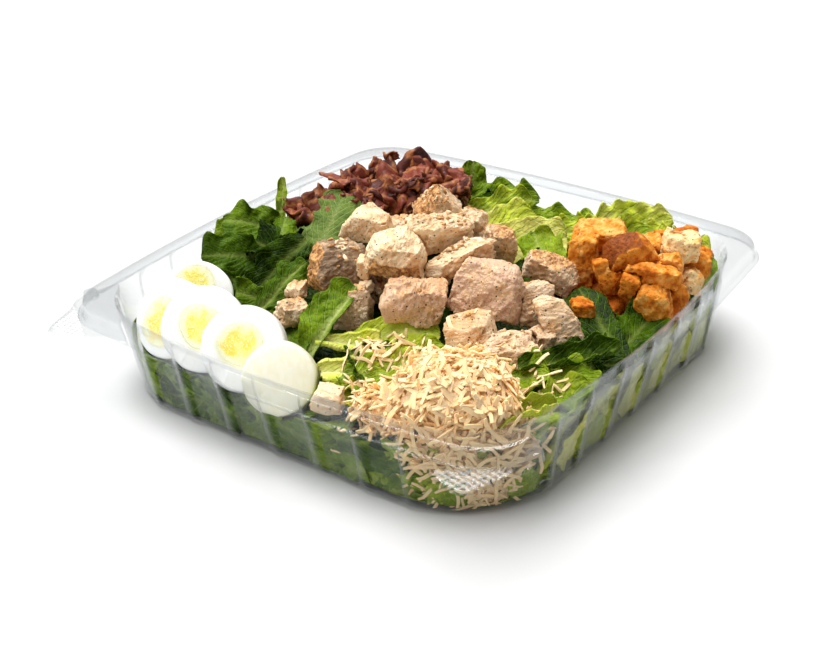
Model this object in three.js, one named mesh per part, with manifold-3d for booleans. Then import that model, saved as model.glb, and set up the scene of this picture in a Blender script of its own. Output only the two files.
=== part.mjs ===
// Chicken caesar salad in a clear ribbed take-away tray.
// Millimetres, +Z up. The origin is the centre of the tray's flat base, on the surface it stands on.
// The -Y edge is the opening edge, with a pull tab at both its corners; +Y is the hinge edge.

import * as THREE from 'three';
import { mergeVertices } from 'three/addons/utils/BufferGeometryUtils.js';
import { ImprovedNoise } from 'three/addons/math/ImprovedNoise.js';
import Module from 'manifold-3d';

// ---------- driving dimensions ----------

const SHEET = 0.5; // thickness of the formed clear sheet
const RIM_HEIGHT = 42.2; // top of the flat shelf round the tray
const SKIRT_DROP = 6.3; // how far the outer skirt falls from the shelf to the flange
const RIM_HALF = 107.2; // half the inner width of the rim, where the corner arcs begin
const RIM_CORNER = 40; // corner radius of the inner rim
const RIM_BOW = 4.3; // how far each side bulges out at its middle, at the rim
const FOOT_HALF = 103.8; // the same half-width at the foot of the wall
const FOOT_CORNER = 46;
const FOOT_HEIGHT = 2.8; // top of the slope between base and wall
const FOOT_BOW = -0.5;
const BASE_INSET = 1.9; // the flat base stands this far inside the foot
const SLOPE_OFFSET = 0.2; // offset of the slope's underside that keeps the sheet's thickness there
const SHELF_HALF = 111.9; // half the outer width of the shelf
const SHELF_CORNER = 22;
const FLANGE_WIDTH = 1.6; // narrow lip outside the skirt
const SKIRT_DRAFT = 0.5; // the skirt leans out this far on its way down

const FLUTE_PITCH = 23; // spacing of the upright flutes in each wall
const FLUTES_EACH_WAY = 2; // flutes on either side of the middle one
const LAST_FLUTE = 67; // the flute that ends the ribbed stretch, just before the corner
const FLUTE_MOUTH = 7; // width of a flute where it opens into the wall
const FLUTE_FLOOR = 4; // width of its flat floor
const FLUTE_DEPTH = 2.6; // depth of a flute at the rim
const FOOT_FLUTE_DEPTH = 1; // and at the foot of the wall, where it runs out
const RIBBED_REACH = 70.5; // the ribbed stretch runs this far each way from the middle of a side
const PLAIN_STATIONS = [-1, -0.6, -0.2, 0.2, 0.6, 1]; // where a plain side has points, as shares of it
const SIDE_SHARE = 0.6; // share of a quarter loop that is side; the rest is corner
const CORNER_STEPS = 6;

// The right-hand pull tab, from its root on the front skirt round its tip to the side skirt.
const TAB = {
  root: [[84, -104], [68, -114.5]],
  tip: [[80, -116.5], [88, -121.5], [97, -125.6], [104.5, -125.8], [109, -121.5]],
  ear: [[111.6, -114], [114.5, -105], [118.4, -98], [118.9, -90]],
  heel: [[116.8, -85], [114.5, -76]],
  end: [104, -86],
  curveSteps: 3,
  overlap: 0.2, // the tab runs this far into the skirt
  trim: 10, // depth of the block that trims it there
};

const STUD_PLACE = [114.5, -93]; // snap stud beside each tab
const STUD_HEIGHT = 3.4;
const STUD_RADIUS = 3.6;
const STUD_TAPER = 0.8; // its top radius, as a share
const STUD_SIDES = 12;

const GAP = 0.3; // clearance kept between solids that touch
const ROOM_GAP = 0.8; // food stays this far inside the wall and above the base
const ROOM_TOP = 130; // far above the tallest food

const EGG_SIDES = 24; // sides of a round egg slice
const SAME_POINT = 1e-4; // points closer than this are one
const SEED_STEP = new THREE.Vector3(3.1, 1.3, -2.3); // moves each piece to its own part of the noise

// ---------- shared tools ----------

const wasm = await Module();
wasm.setup();
const noise = new ImprovedNoise();
const deg = THREE.MathUtils.degToRad;

// Turns a closed three.js geometry into a solid that can be joined and cut.
function solidOf(geometry) {
  const bare = geometry.clone();
  bare.deleteAttribute('normal');
  bare.deleteAttribute('uv');
  const merged = mergeVertices(bare, SAME_POINT);
  const index = merged.index.array;
  const triVerts = [];
  for (let i = 0; i < index.length; i += 3) {
    const [a, b, c] = [index[i], index[i + 1], index[i + 2]];
    if (a !== b && b !== c && c !== a) triVerts.push(a, b, c);
  }
  return new wasm.Manifold(new wasm.Mesh({
    numProp: 3,
    vertProperties: new Float32Array(merged.attributes.position.array),
    triVerts: new Uint32Array(triVerts),
  }));
}

// Turns a solid back into a geometry for a mesh.
function geometryOf(solid) {
  const { numProp, vertProperties, triVerts } = solid.getMesh();
  const positions = new Float32Array((vertProperties.length / numProp) * 3);
  for (let i = 0; i < positions.length / 3; i += 1) {
    for (let axis = 0; axis < 3; axis += 1) positions[i * 3 + axis] = vertProperties[i * numProp + axis];
  }
  const geometry = new THREE.BufferGeometry();
  geometry.setAttribute('position', new THREE.BufferAttribute(positions, 3));
  geometry.setIndex(Array.from(triVerts));
  geometry.computeVertexNormals();
  return geometry;
}

function meshOf(name, solid, colour, roughness, extra = {}) {
  const material = new THREE.MeshStandardMaterial({ color: colour, roughness, metalness: 0, ...extra });
  const mesh = new THREE.Mesh(geometryOf(solid), material);
  mesh.name = name;
  return mesh;
}

// A geometry from a list of points and a list of triangles.
function geometryFrom(points, triangles) {
  const geometry = new THREE.BufferGeometry();
  geometry.setAttribute('position', new THREE.Float32BufferAttribute(points.flat(), 3));
  geometry.setIndex(triangles.flat());
  return geometry;
}

// Joins two loops of points by a band of triangles. Each loop point has its place round the loop, u.
function bridge(triangles, from, to) {
  let i = 0;
  let j = 0;
  const at = (loop, k) => loop[k % loop.length];
  const place = (loop, k) => at(loop, k).u + (k >= loop.length ? 4 : 0);
  while (i < from.length || j < to.length) {
    const stepFrom = j >= to.length || (i < from.length && place(from, i + 1) <= place(to, j + 1));
    if (stepFrom) {
      triangles.push([at(from, i).id, at(from, i + 1).id, at(to, j).id]);
      i += 1;
    } else {
      triangles.push([at(from, i).id, at(to, j + 1).id, at(to, j).id]);
      j += 1;
    }
  }
}

// Closes a chain of loops with a fan at both ends: the underside first, the upper side last.
function skinned(points, loops, centreBelow, centreAbove) {
  const triangles = [];
  const first = loops[0];
  const last = loops[loops.length - 1];
  for (let i = 0; i < loops.length - 1; i += 1) bridge(triangles, loops[i], loops[i + 1]);
  points.push(centreBelow, centreAbove);
  const below = points.length - 2;
  const above = points.length - 1;
  first.forEach((p, i) => triangles.push([below, first[(i + 1) % first.length].id, p.id]));
  last.forEach((p, i) => triangles.push([above, p.id, last[(i + 1) % last.length].id]));
  return geometryFrom(points, triangles);
}

// ---------- tray ----------

// Distance from the centre line to the side of a rounded square, at a place y along that side.
function sideDistance({ half, bow, corner }, y) {
  const straight = half - corner;
  if (Math.abs(y) <= straight) return half + bow * (1 - (y / straight) ** 2);
  return straight + Math.sqrt(corner ** 2 - (Math.abs(y) - straight) ** 2);
}

// The stations along one side: [place, flute depth].
function sideStations(level) {
  const reach = Math.max(level.half - level.corner, RIBBED_REACH);
  if (!level.flute) return PLAIN_STATIONS.map((f) => [f * reach, 0]);
  const centres = [];
  for (let k = -FLUTES_EACH_WAY; k <= FLUTES_EACH_WAY; k += 1) centres.push(k * FLUTE_PITCH);
  return [-LAST_FLUTE, ...centres, LAST_FLUTE].flatMap((c) => [
    [c - FLUTE_MOUTH / 2, 0],
    [c - FLUTE_FLOOR / 2, level.flute],
    [c + FLUTE_FLOOR / 2, level.flute],
    [c + FLUTE_MOUTH / 2, 0],
  ]);
}

// One loop of the tray at height level.z, anticlockwise seen from above.
function trayLoop(points, level) {
  const reach = Math.max(level.half - level.corner, RIBBED_REACH);
  const straight = level.half - level.corner;
  const firstAngle = Math.asin((reach - straight) / level.corner);
  const loop = [];
  for (let quarter = 0; quarter < 4; quarter += 1) {
    const spin = (x, y) => new THREE.Vector2(x, y).rotateAround(new THREE.Vector2(), quarter * Math.PI / 2);
    const add = (x, y, u) => {
      const p = spin(x, y);
      loop.push({ id: points.length, u: quarter + u });
      points.push([p.x, p.y, level.z]);
    };
    for (const [y, depth] of sideStations(level)) {
      add(sideDistance(level, y) + depth, y, (SIDE_SHARE / 2) * (1 + y / reach));
    }
    for (let step = 1; step < CORNER_STEPS; step += 1) {
      const f = step / CORNER_STEPS;
      const angle = firstAngle + f * (Math.PI / 2 - 2 * firstAngle);
      const [x, y] = [Math.cos(angle), Math.sin(angle)].map((v) => straight + level.corner * v);
      add(x, y, SIDE_SHARE + (1 - SIDE_SHARE) * f);
    }
  }
  return loop;
}

// The levels of the sheet, from the base centre out to the flange along its underside and back on top.
function trayLevels() {
  const rim = { half: RIM_HALF, bow: RIM_BOW, corner: RIM_CORNER, z: RIM_HEIGHT, flute: FLUTE_DEPTH };
  const foot = { half: FOOT_HALF, bow: FOOT_BOW, corner: FOOT_CORNER, z: FOOT_HEIGHT, flute: FOOT_FLUTE_DEPTH };
  const base = { half: FOOT_HALF - BASE_INSET, bow: FOOT_BOW, corner: FOOT_CORNER - BASE_INSET, z: SHEET };
  const shelf = { half: SHELF_HALF, bow: RIM_BOW, corner: SHELF_CORNER, z: RIM_HEIGHT };
  const grown = (level, by, z) => ({ ...level, half: level.half + by, corner: level.corner + by, z });
  const skirtFoot = RIM_HEIGHT - SKIRT_DROP;
  return [
    grown(base, SLOPE_OFFSET, 0),
    grown(foot, SHEET, FOOT_HEIGHT - SLOPE_OFFSET),
    grown(rim, SHEET, RIM_HEIGHT - SHEET),
    grown(shelf, -SHEET, RIM_HEIGHT - SHEET),
    grown(shelf, SKIRT_DRAFT - SHEET, skirtFoot - SHEET),
    grown(shelf, SKIRT_DRAFT + FLANGE_WIDTH, skirtFoot - SHEET),
    grown(shelf, SKIRT_DRAFT + FLANGE_WIDTH, skirtFoot),
    grown(shelf, SKIRT_DRAFT, skirtFoot),
    shelf,
    rim,
    foot,
    base,
  ];
}

function trayShell() {
  const points = [];
  const loops = trayLevels().map((level) => trayLoop(points, level));
  return solidOf(skinned(points, loops, [0, 0, 0], [0, 0, SHEET]));
}

// Outline of the plain loop of one level, as a shape.
function outlineShape(level) {
  const points = [];
  trayLoop(points, level);
  return new THREE.Shape(points.map(([x, y]) => new THREE.Vector2(x, y)));
}

// A leaf-shaped pull tab at flange level, with a snap stud on its ear. side is +1 or -1.
function pullTab(side) {
  const level = RIM_HEIGHT - SKIRT_DROP - SHEET;
  const mirrored = (places) => places.map(([x, y]) => new THREE.Vector2(side * x, y));
  const [start, onSkirt] = mirrored(TAB.root);
  const [end] = mirrored([TAB.end]);
  const outline = new THREE.Shape();
  outline.moveTo(start.x, start.y);
  outline.lineTo(onSkirt.x, onSkirt.y);
  for (const run of [TAB.tip, TAB.ear, TAB.heel]) outline.splineThru(mirrored(run));
  outline.lineTo(end.x, end.y);
  const plate = new THREE.ExtrudeGeometry(outline, {
    depth: SHEET, bevelEnabled: false, curveSegments: TAB.curveSteps,
  });
  plate.translate(0, 0, level);
  const skirt = { half: SHELF_HALF + TAB.overlap, bow: RIM_BOW, corner: SHELF_CORNER, z: 0 };
  const inside = new THREE.ExtrudeGeometry(outlineShape(skirt), { depth: TAB.trim, bevelEnabled: false });
  inside.translate(0, 0, level - TAB.trim / 2);
  const stud = (radius, low, high) => solidOf(
    new THREE.CylinderGeometry(radius * STUD_TAPER, radius, high - low, STUD_SIDES)
      .rotateX(Math.PI / 2)
      .translate(side * STUD_PLACE[0], STUD_PLACE[1], level + (low + high) / 2),
  );
  return solidOf(plate).add(stud(STUD_RADIUS, 0, STUD_HEIGHT))
    .subtract(stud(STUD_RADIUS - SHEET, -SHEET, STUD_HEIGHT - SHEET))
    .subtract(solidOf(inside));
}

function trayMesh() {
  const solid = trayShell().add(pullTab(1)).add(pullTab(-1));
  return meshOf('tray', solid, 0xf4f7f8, 0.08, { transparent: true, opacity: 0.3 });
}

// The space inside the tray that food may fill, open upwards.
function roomForFood() {
  const points = [];
  const level = (half, bow, corner, z) => trayLoop(points, {
    half: half - ROOM_GAP, bow, corner: corner - ROOM_GAP, z,
  });
  const loops = [
    level(FOOT_HALF - BASE_INSET, FOOT_BOW, FOOT_CORNER - BASE_INSET, SHEET + ROOM_GAP),
    level(FOOT_HALF, FOOT_BOW, FOOT_CORNER, FOOT_HEIGHT + ROOM_GAP),
    level(RIM_HALF, RIM_BOW, RIM_CORNER, RIM_HEIGHT),
    level(RIM_HALF, RIM_BOW, RIM_CORNER, ROOM_TOP),
  ];
  return solidOf(skinned(points, loops, [0, 0, SHEET + ROOM_GAP], [0, 0, ROOM_TOP]));
}

// ---------- food pieces ----------

const LONG_PIECE = 19; // a piece longer than this has three rows of faces along that side, not two
const PIECE_LUMPS = 1.7; // how many lumps there are from a piece's middle to its face

// A chopped block: a box with rounded edges, uneven faces and a narrower top or bottom.
function choppedBlock({ size, edge, rough, taper, seed }, extra = 0) {
  const cells = size.map((s) => (s > LONG_PIECE ? 3 : 2));
  const block = new THREE.BoxGeometry(2, 2, 2, ...cells);
  block.deleteAttribute('normal');
  block.deleteAttribute('uv');
  const geometry = mergeVertices(block, SAME_POINT);
  const place = geometry.attributes.position;
  for (let i = 0; i < place.count; i += 1) {
    const p = new THREE.Vector3().fromBufferAttribute(place, i);
    const reach = (Math.abs(p.x) ** edge + Math.abs(p.y) ** edge + Math.abs(p.z) ** edge) ** (1 / edge);
    p.divideScalar(reach);
    const lump = p.clone().multiplyScalar(PIECE_LUMPS).addScaledVector(SEED_STEP, seed);
    p.multiplyScalar(1 + rough * noise.noise(lump.x, lump.y, lump.z));
    p.x *= 1 + taper[0] * p.z;
    p.y *= 1 + taper[1] * p.z;
    place.setXYZ(i, p.x * (size[0] / 2 + extra), p.y * (size[1] / 2 + extra), p.z * (size[2] / 2 + extra));
  }
  return geometry;
}

// Turns a piece about Z, after tipping it about X and rolling it about Y, and moves it to its place.
function settle(geometry, { at, turn = 0, tip = 0, roll = 0 }) {
  const placed = geometry.clone();
  placed.applyMatrix4(new THREE.Matrix4().makeRotationFromEuler(
    new THREE.Euler(deg(tip), deg(roll), deg(turn), 'ZYX'),
  ));
  return placed.translate(...at);
}

// Each chicken piece: where its middle is, its length, depth and height, and how it lies.
const CHICKEN = {
  edge: 5,
  rough: 0.3,
  colour: 0xd9b48f,
  roughness: 0.6,
  pieces: [
    { at: [-19, -14, 64], size: [22, 16, 14], turn: 25, tip: 8, roll: 12, taper: [-0.25, 0] },
    { at: [-17, -38, 53], size: [26, 20, 23], turn: 50, tip: -12, roll: 8, taper: [-0.2, -0.1] },
    { at: [10, -34, 66], size: [25, 19, 16], turn: 30, tip: 14, roll: 6, taper: [-0.1, -0.1] },
    { at: [17, -14, 70], size: [30, 14, 13], turn: 38, tip: 20, roll: -4, taper: [0, -0.15] },
    { at: [3, 6, 72], size: [20, 17, 17], turn: 35, tip: 10, roll: 0, taper: [-0.4, -0.2] },
    { at: [31, -18, 62], size: [30, 10, 10], turn: 52, tip: 10, roll: -22, taper: [0, 0] },
    { at: [27, -44, 53], size: [29, 16, 17], turn: 34, tip: 6, roll: 2, taper: [0.05, -0.05] },
    { at: [48, -24, 55], size: [28, 19, 25], turn: 22, tip: -20, roll: 10, taper: [-0.2, -0.1] },
    { at: [30, 12, 57], size: [15, 14, 16], turn: 60, tip: 12, roll: 10, taper: [-0.1, 0] },
    { at: [58, 8, 53], size: [25, 12, 13], turn: 10, tip: 10, roll: 18, taper: [-0.1, 0] },
    { at: [64, -12, 47], size: [14, 10, 20], turn: 38, tip: -14, roll: 8, taper: [0, 0] },
    { at: [81, -22, 47], size: [15, 11, 27], turn: 44, tip: -18, roll: -16, taper: [-0.1, 0] },
    { at: [56, -48, 48], size: [22, 17, 15], turn: 28, tip: 6, roll: -10, taper: [-0.1, -0.1] },
    { at: [71, -45, 43], size: [28, 18, 14], turn: 42, tip: 12, roll: 6, taper: [-0.1, -0.1] },
    { at: [78, -31, 42], size: [14, 11, 15], turn: 60, tip: 6, roll: 16, taper: [-0.3, 0] },
    { at: [-2, -51, 45], size: [18, 14, 19], turn: 30, tip: -8, roll: -6, taper: [0, -0.1] },
    { at: [-19, -69, 45], size: [13, 11, 11], turn: 62, tip: 12, roll: 8, taper: [-0.1, 0] },
    { at: [25, -99, 33], size: [13, 10, 10], turn: 18, tip: 8, roll: 4, taper: [-0.1, 0] },
    { at: [-25, -58, 49], size: [9, 8, 7], turn: 20, tip: 10, roll: 0, taper: [0, 0] },
    { at: [17, 12, 64], size: [12, 11, 12], turn: 15, tip: 20, roll: 8, taper: [-0.2, 0] },
    { at: [-23, 13, 50], size: [20, 14, 13], turn: 70, tip: -10, roll: 6, taper: [-0.1, -0.1] },
    { at: [-6, 25, 54], size: [24, 15, 14], turn: 25, tip: -14, roll: 4, taper: [-0.1, 0] },
    { at: [18, 30, 47], size: [20, 14, 13], turn: 115, tip: 8, roll: 10, taper: [-0.1, 0] },
  ],
};

const CROUTONS = {
  edge: 7,
  rough: 0.22,
  colour: 0xc06f28,
  roughness: 0.75,
  pieces: [
    { at: [65, 23, 53], size: [13, 12, 25], turn: 30, tip: -6, roll: 4, taper: [0, 0] },
    { at: [64, 40, 58], size: [24, 15, 10], turn: 40, tip: 8, roll: -4, taper: [0, 0.1] },
    { at: [84, 27, 62], size: [22, 15, 11], turn: 48, tip: 22, roll: -14, taper: [-0.3, -0.2] },
    { at: [80, 20, 52], size: [12, 11, 17], turn: 44, tip: -10, roll: -14, taper: [0, 0] },
    { at: [90, 20, 50], size: [8, 9, 11], turn: 20, tip: 8, roll: 10, taper: [0, 0] },
    { at: [96, 27, 54], size: [25, 9, 9], turn: 30, tip: 14, roll: 10, taper: [0, 0] },
    { at: [98, 35, 56], size: [15, 9, 7], turn: 40, tip: 20, roll: 6, taper: [0, 0] },
    { at: [97, 51, 57], size: [16, 13, 12], turn: 34, tip: 6, roll: 8, taper: [-0.1, 0] },
    { at: [85, 48, 55], size: [10, 9, 9], turn: 62, tip: 12, roll: 6, taper: [0, 0] },
    { at: [83, 63, 52], size: [11, 8, 9], turn: 25, tip: 0, roll: 8, taper: [0, 0] },
    { at: [91, 70, 50], size: [13, 12, 12], turn: 50, tip: 14, roll: 20, taper: [-0.2, 0] },
    { at: [99, 62, 46], size: [14, 13, 14], turn: 30, tip: 10, roll: 24, taper: [0, -0.1] },
    { at: [103, 49, 43], size: [12, 10, 11], turn: 50, tip: -10, roll: 20, taper: [-0.4, 0] },
    { at: [97, 25, 41], size: [18, 15, 20], turn: 36, tip: 12, roll: 8, taper: [-0.1, -0.1] },
    { at: [102, 38, 39], size: [11, 10, 14], turn: 26, tip: 8, roll: 4, taper: [0, 0] },
    { at: [81, -3, 45], size: [10, 10, 13], turn: 40, tip: 6, roll: -4, taper: [0, 0] },
  ],
};

// Cuts each piece of a group to fit round those that lie there already, with the usual gap.
function fittedPieces(group, prefix, taken, room) {
  return group.pieces.map((piece, i) => {
    const form = { ...piece, edge: group.edge, rough: group.rough, seed: i + 1 };
    const whole = solidOf(settle(choppedBlock(form), piece));
    const solid = fitted(whole, taken, room);
    taken.push({ solid, grown: solidOf(settle(choppedBlock(form, GAP), piece)) });
    return meshOf(`${prefix}_${String(i + 1).padStart(2, '0')}`, solid, group.colour, group.roughness);
  });
}

// The part of a solid that is inside the room and clear of what is there already.
function fitted(whole, taken, room) {
  let solid = whole.intersect(room);
  for (const other of taken) solid = solid.subtract(other.grown);
  const parts = solid.decompose();
  return parts.reduce((best, part) => (part.volume() > best.volume() ? part : best));
}

// ---------- egg ----------

// Five slices of one boiled egg, in a row along the -Y wall. face is the direction of the cut face:
// [angle in plan from -Y towards +X, angle above the horizontal].
const EGG_WHITE = 0xf8f6ee;
const EGG_YOLK = 0xf0d35a;
const EGG_BULGE = 0.8; // the rim of a slice stands out this far between its two cuts
const YOLK_EDGE = 0.96; // radius of a yolk at its cuts, as a share
const EGG_CAP = { shoulder: 0.6, shoulderRise: 2, rise: 2.8 }; // the domed end of the egg
const EGG_SLICES = [
  { at: [-1, -98, 33], face: [37, 30], front: 11.5, back: 15.4, thick: 9, yolk: 0 },
  { at: [-22, -95, 39], face: [35, 32], front: 17, back: 18, thick: 8, yolk: 8.2 },
  { at: [-45, -93, 40], face: [31, 33], front: 18, back: 17.6, thick: 8, yolk: 8.4 },
  { at: [-66, -90, 37], face: [4, 34], front: 17.4, back: 17, thick: 8, yolk: 9.5 },
  { at: [-76, -66, 35], face: [50, 40], front: 15.5, back: 15, thick: 8, yolk: 8 },
];

// A round solid from its half-outline [radius, height], turned to its place in the row.
function lathed(outline, slice) {
  const profile = outline.map(([r, h]) => new THREE.Vector2(r, h));
  const geometry = new THREE.LatheGeometry(profile, EGG_SIDES);
  const [plan, rise] = slice.face.map(deg);
  const normal = new THREE.Vector3(
    Math.sin(plan) * Math.cos(rise),
    -Math.cos(plan) * Math.cos(rise),
    Math.sin(rise),
  );
  const turn = new THREE.Quaternion().setFromUnitVectors(new THREE.Vector3(0, 1, 0), normal);
  return solidOf(geometry.applyQuaternion(turn).translate(...slice.at));
}

// Half-outlines of a slice: the white as a ring round the yolk, or a domed end with no yolk in it.
function whiteOutline({ front, back, thick, yolk }, extra = 0) {
  const low = -thick / 2 - extra;
  const high = thick / 2 + extra;
  const widest = Math.max(front, back) + EGG_BULGE;
  const edge = [[back + extra, low], [widest + extra, 0], [front + extra, high]];
  if (yolk && !extra) return [[yolk + GAP, low], ...edge, [yolk + GAP, high], [yolk + GAP, low]];
  if (yolk) return [[0, low], ...edge, [0, high]];
  const cap = [[front * EGG_CAP.shoulder, high + EGG_CAP.shoulderRise], [0, high + EGG_CAP.rise + extra]];
  return [[0, low], ...edge, ...cap];
}

function yolkOutline({ thick, yolk }) {
  const cut = yolk * YOLK_EDGE;
  return [[0, -thick / 2], [cut, -thick / 2], [yolk, 0], [cut, thick / 2], [0, thick / 2]];
}

function eggMeshes(taken, room) {
  return EGG_SLICES.flatMap((slice, i) => {
    const white = fitted(lathed(whiteOutline(slice), slice), taken, room);
    const meshes = [meshOf(`egg_white_${i + 1}`, white, EGG_WHITE, 0.35)];
    const grown = lathed(whiteOutline(slice, GAP), slice);
    if (slice.yolk) {
      const yolk = fitted(lathed(yolkOutline(slice), slice), taken, room);
      meshes.push(meshOf(`egg_yolk_${i + 1}`, yolk, EGG_YOLK, 0.7));
      taken.push({ solid: yolk, grown: yolk });
    }
    taken.push({ solid: white, grown });
    return meshes;
  });
}

// ---------- heaps ----------

const HEAP_LUMPS = 2.1; // how many lumps there are from a mound's middle to its face

// A heap from a few overlapping uneven mounds, each with its middle and half-lengths.
function heapSolid(mounds, rough, seed, extra = 0) {
  const solids = mounds.map(({ at, size, facets }, k) => {
    const half = size.map((s) => s + extra);
    const ball = new THREE.IcosahedronGeometry(1, facets);
    ball.deleteAttribute('normal');
    ball.deleteAttribute('uv');
    const geometry = mergeVertices(ball, SAME_POINT);
    const place = geometry.attributes.position;
    for (let i = 0; i < place.count; i += 1) {
      const p = new THREE.Vector3().fromBufferAttribute(place, i);
      const lump = p.clone().multiplyScalar(HEAP_LUMPS).addScaledVector(SEED_STEP, seed + k);
      const bump = 1 + rough * noise.noise(lump.x, lump.y, lump.z);
      place.setXYZ(i, p.x * half[0] * bump, p.y * half[1] * bump, p.z * half[2] * bump);
    }
    return solidOf(geometry.translate(...at));
  });
  return solids.reduce((whole, mound) => whole.add(mound));
}

const BACON_MOUNDS = [
  { at: [-58, 35, 49], size: [20, 20, 13], facets: 2 },
  { at: [-39, 50, 50], size: [21, 18, 13], facets: 2 },
  { at: [-68, 9, 47], size: [12, 11, 9], facets: 1 },
];

const CHEESE_MOUNDS = [
  { at: [73, -81, 42], size: [23, 19, 14], facets: 2 },
  { at: [82, -82, 24], size: [20, 20, 19], facets: 1 },
  { at: [50, -93, 33], size: [15, 9, 8], facets: 1 },
];

function heapMesh(name, mounds, { rough, seed, colour, roughness }, taken, room) {
  const solid = fitted(heapSolid(mounds, rough, seed), taken, room);
  taken.push({ solid, grown: heapSolid(mounds, rough, seed, 2 * GAP) });
  return meshOf(name, solid, colour, roughness);
}

// ---------- lettuce ----------

// The leaves fill the tray as one uneven bed, which rises to the underside of all that lies on it.
const BED = {
  edgeHeight: 30, // height of the leaves along the wall
  crownHeight: 72, // height of the crown under the chicken
  crown: [4, -2],
  crownSpread: 50,
  unevenness: 5,
  lumpWidth: 17,
  lumpSlice: 0.4, // which slice of the noise the lumps are taken from
  spokes: 42,
  ringPlaces: [0.08, 0.16, 0.25, 0.35, 0.46, 0.58, 0.71, 0.85, 1], // out from the middle, as shares
  middleReach: 9, // how far round its middle the bed is kept clear of what lies on it
  reachShare: 0.45, // the same round its other points, as a share of the step to the next one
  lowest: 2.5, // least height of the bed's top
  wallMargin: 1,
  cornerShare: 0.3, // how far into a corner a side's distance is still read
  wallPasses: 6,
  cell: 2, // cell of the grid that holds the underside of the food
  gridHalf: 120,
};

// Places where leaves stand up above the bed, or where it is low.
const LEAF_MOUNDS = [
  { at: [-78, -14], rise: 26, spread: 22 },
  { at: [-52, -38], rise: 14, spread: 22 },
  { at: [-18, 72], rise: 22, spread: 17 },
  { at: [38, 44], rise: 7, spread: 22 },
  { at: [66, 66], rise: 16, spread: 20 },
  { at: [92, -14], rise: 14, spread: 18 },
  { at: [22, -70], rise: 10, spread: 22 },
  { at: [-102, -48], rise: -20, spread: 32 },
];

// Height of the bed where nothing presses on it.
function freeBedHeight(x, y) {
  const away = Math.hypot(x - BED.crown[0], y - BED.crown[1]) / BED.crownSpread;
  let z = BED.edgeHeight + (BED.crownHeight - BED.edgeHeight) * Math.exp(-away * away);
  for (const { at, rise, spread } of LEAF_MOUNDS) {
    const far = Math.hypot(x - at[0], y - at[1]) / spread;
    z += rise * Math.exp(-far * far);
  }
  return z + BED.unevenness * noise.noise(x / BED.lumpWidth, y / BED.lumpWidth, BED.lumpSlice);
}

// Lowest point of all the placed food over each cell of a square grid.
function undersideGrid(taken) {
  const { cell, gridHalf } = BED;
  const count = (2 * gridHalf) / cell;
  const lowest = new Float32Array(count * count).fill(Infinity);
  const cellOf = (v) => Math.min(count - 1, Math.max(0, Math.floor((v + gridHalf) / cell)));
  const corners = [new THREE.Vector3(), new THREE.Vector3(), new THREE.Vector3()];
  const triangle = new THREE.Triangle();
  const weights = new THREE.Vector3();
  for (const { solid } of taken) {
    const { vertProperties, triVerts, numProp } = solid.getMesh();
    for (let t = 0; t < triVerts.length; t += 3) {
      corners.forEach((c, k) => c.fromArray(vertProperties, triVerts[t + k] * numProp));
      const heights = corners.map((c) => c.z);
      const flat = corners.map((c) => new THREE.Vector3(c.x, c.y, 0));
      triangle.set(...flat);
      const put = (x, y, z) => {
        const index = cellOf(y) * count + cellOf(x);
        lowest[index] = Math.min(lowest[index], z);
      };
      corners.forEach((c) => put(c.x, c.y, c.z));
      if (triangle.getArea() < SAME_POINT) continue;
      const box = new THREE.Box3().setFromPoints(flat);
      for (let x = box.min.x; x <= box.max.x; x += cell / 2) {
        for (let y = box.min.y; y <= box.max.y; y += cell / 2) {
          if (!triangle.getBarycoord(new THREE.Vector3(x, y, 0), weights)) continue;
          if (Math.min(weights.x, weights.y, weights.z) < 0) continue;
          put(x, y, weights.x * heights[0] + weights.y * heights[1] + weights.z * heights[2]);
        }
      }
    }
  }
  return (x, y, reach) => {
    let z = Infinity;
    for (let i = cellOf(x - reach); i <= cellOf(x + reach); i += 1) {
      for (let j = cellOf(y - reach); j <= cellOf(y + reach); j += 1) z = Math.min(z, lowest[j * count + i]);
    }
    return z;
  };
}

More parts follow.
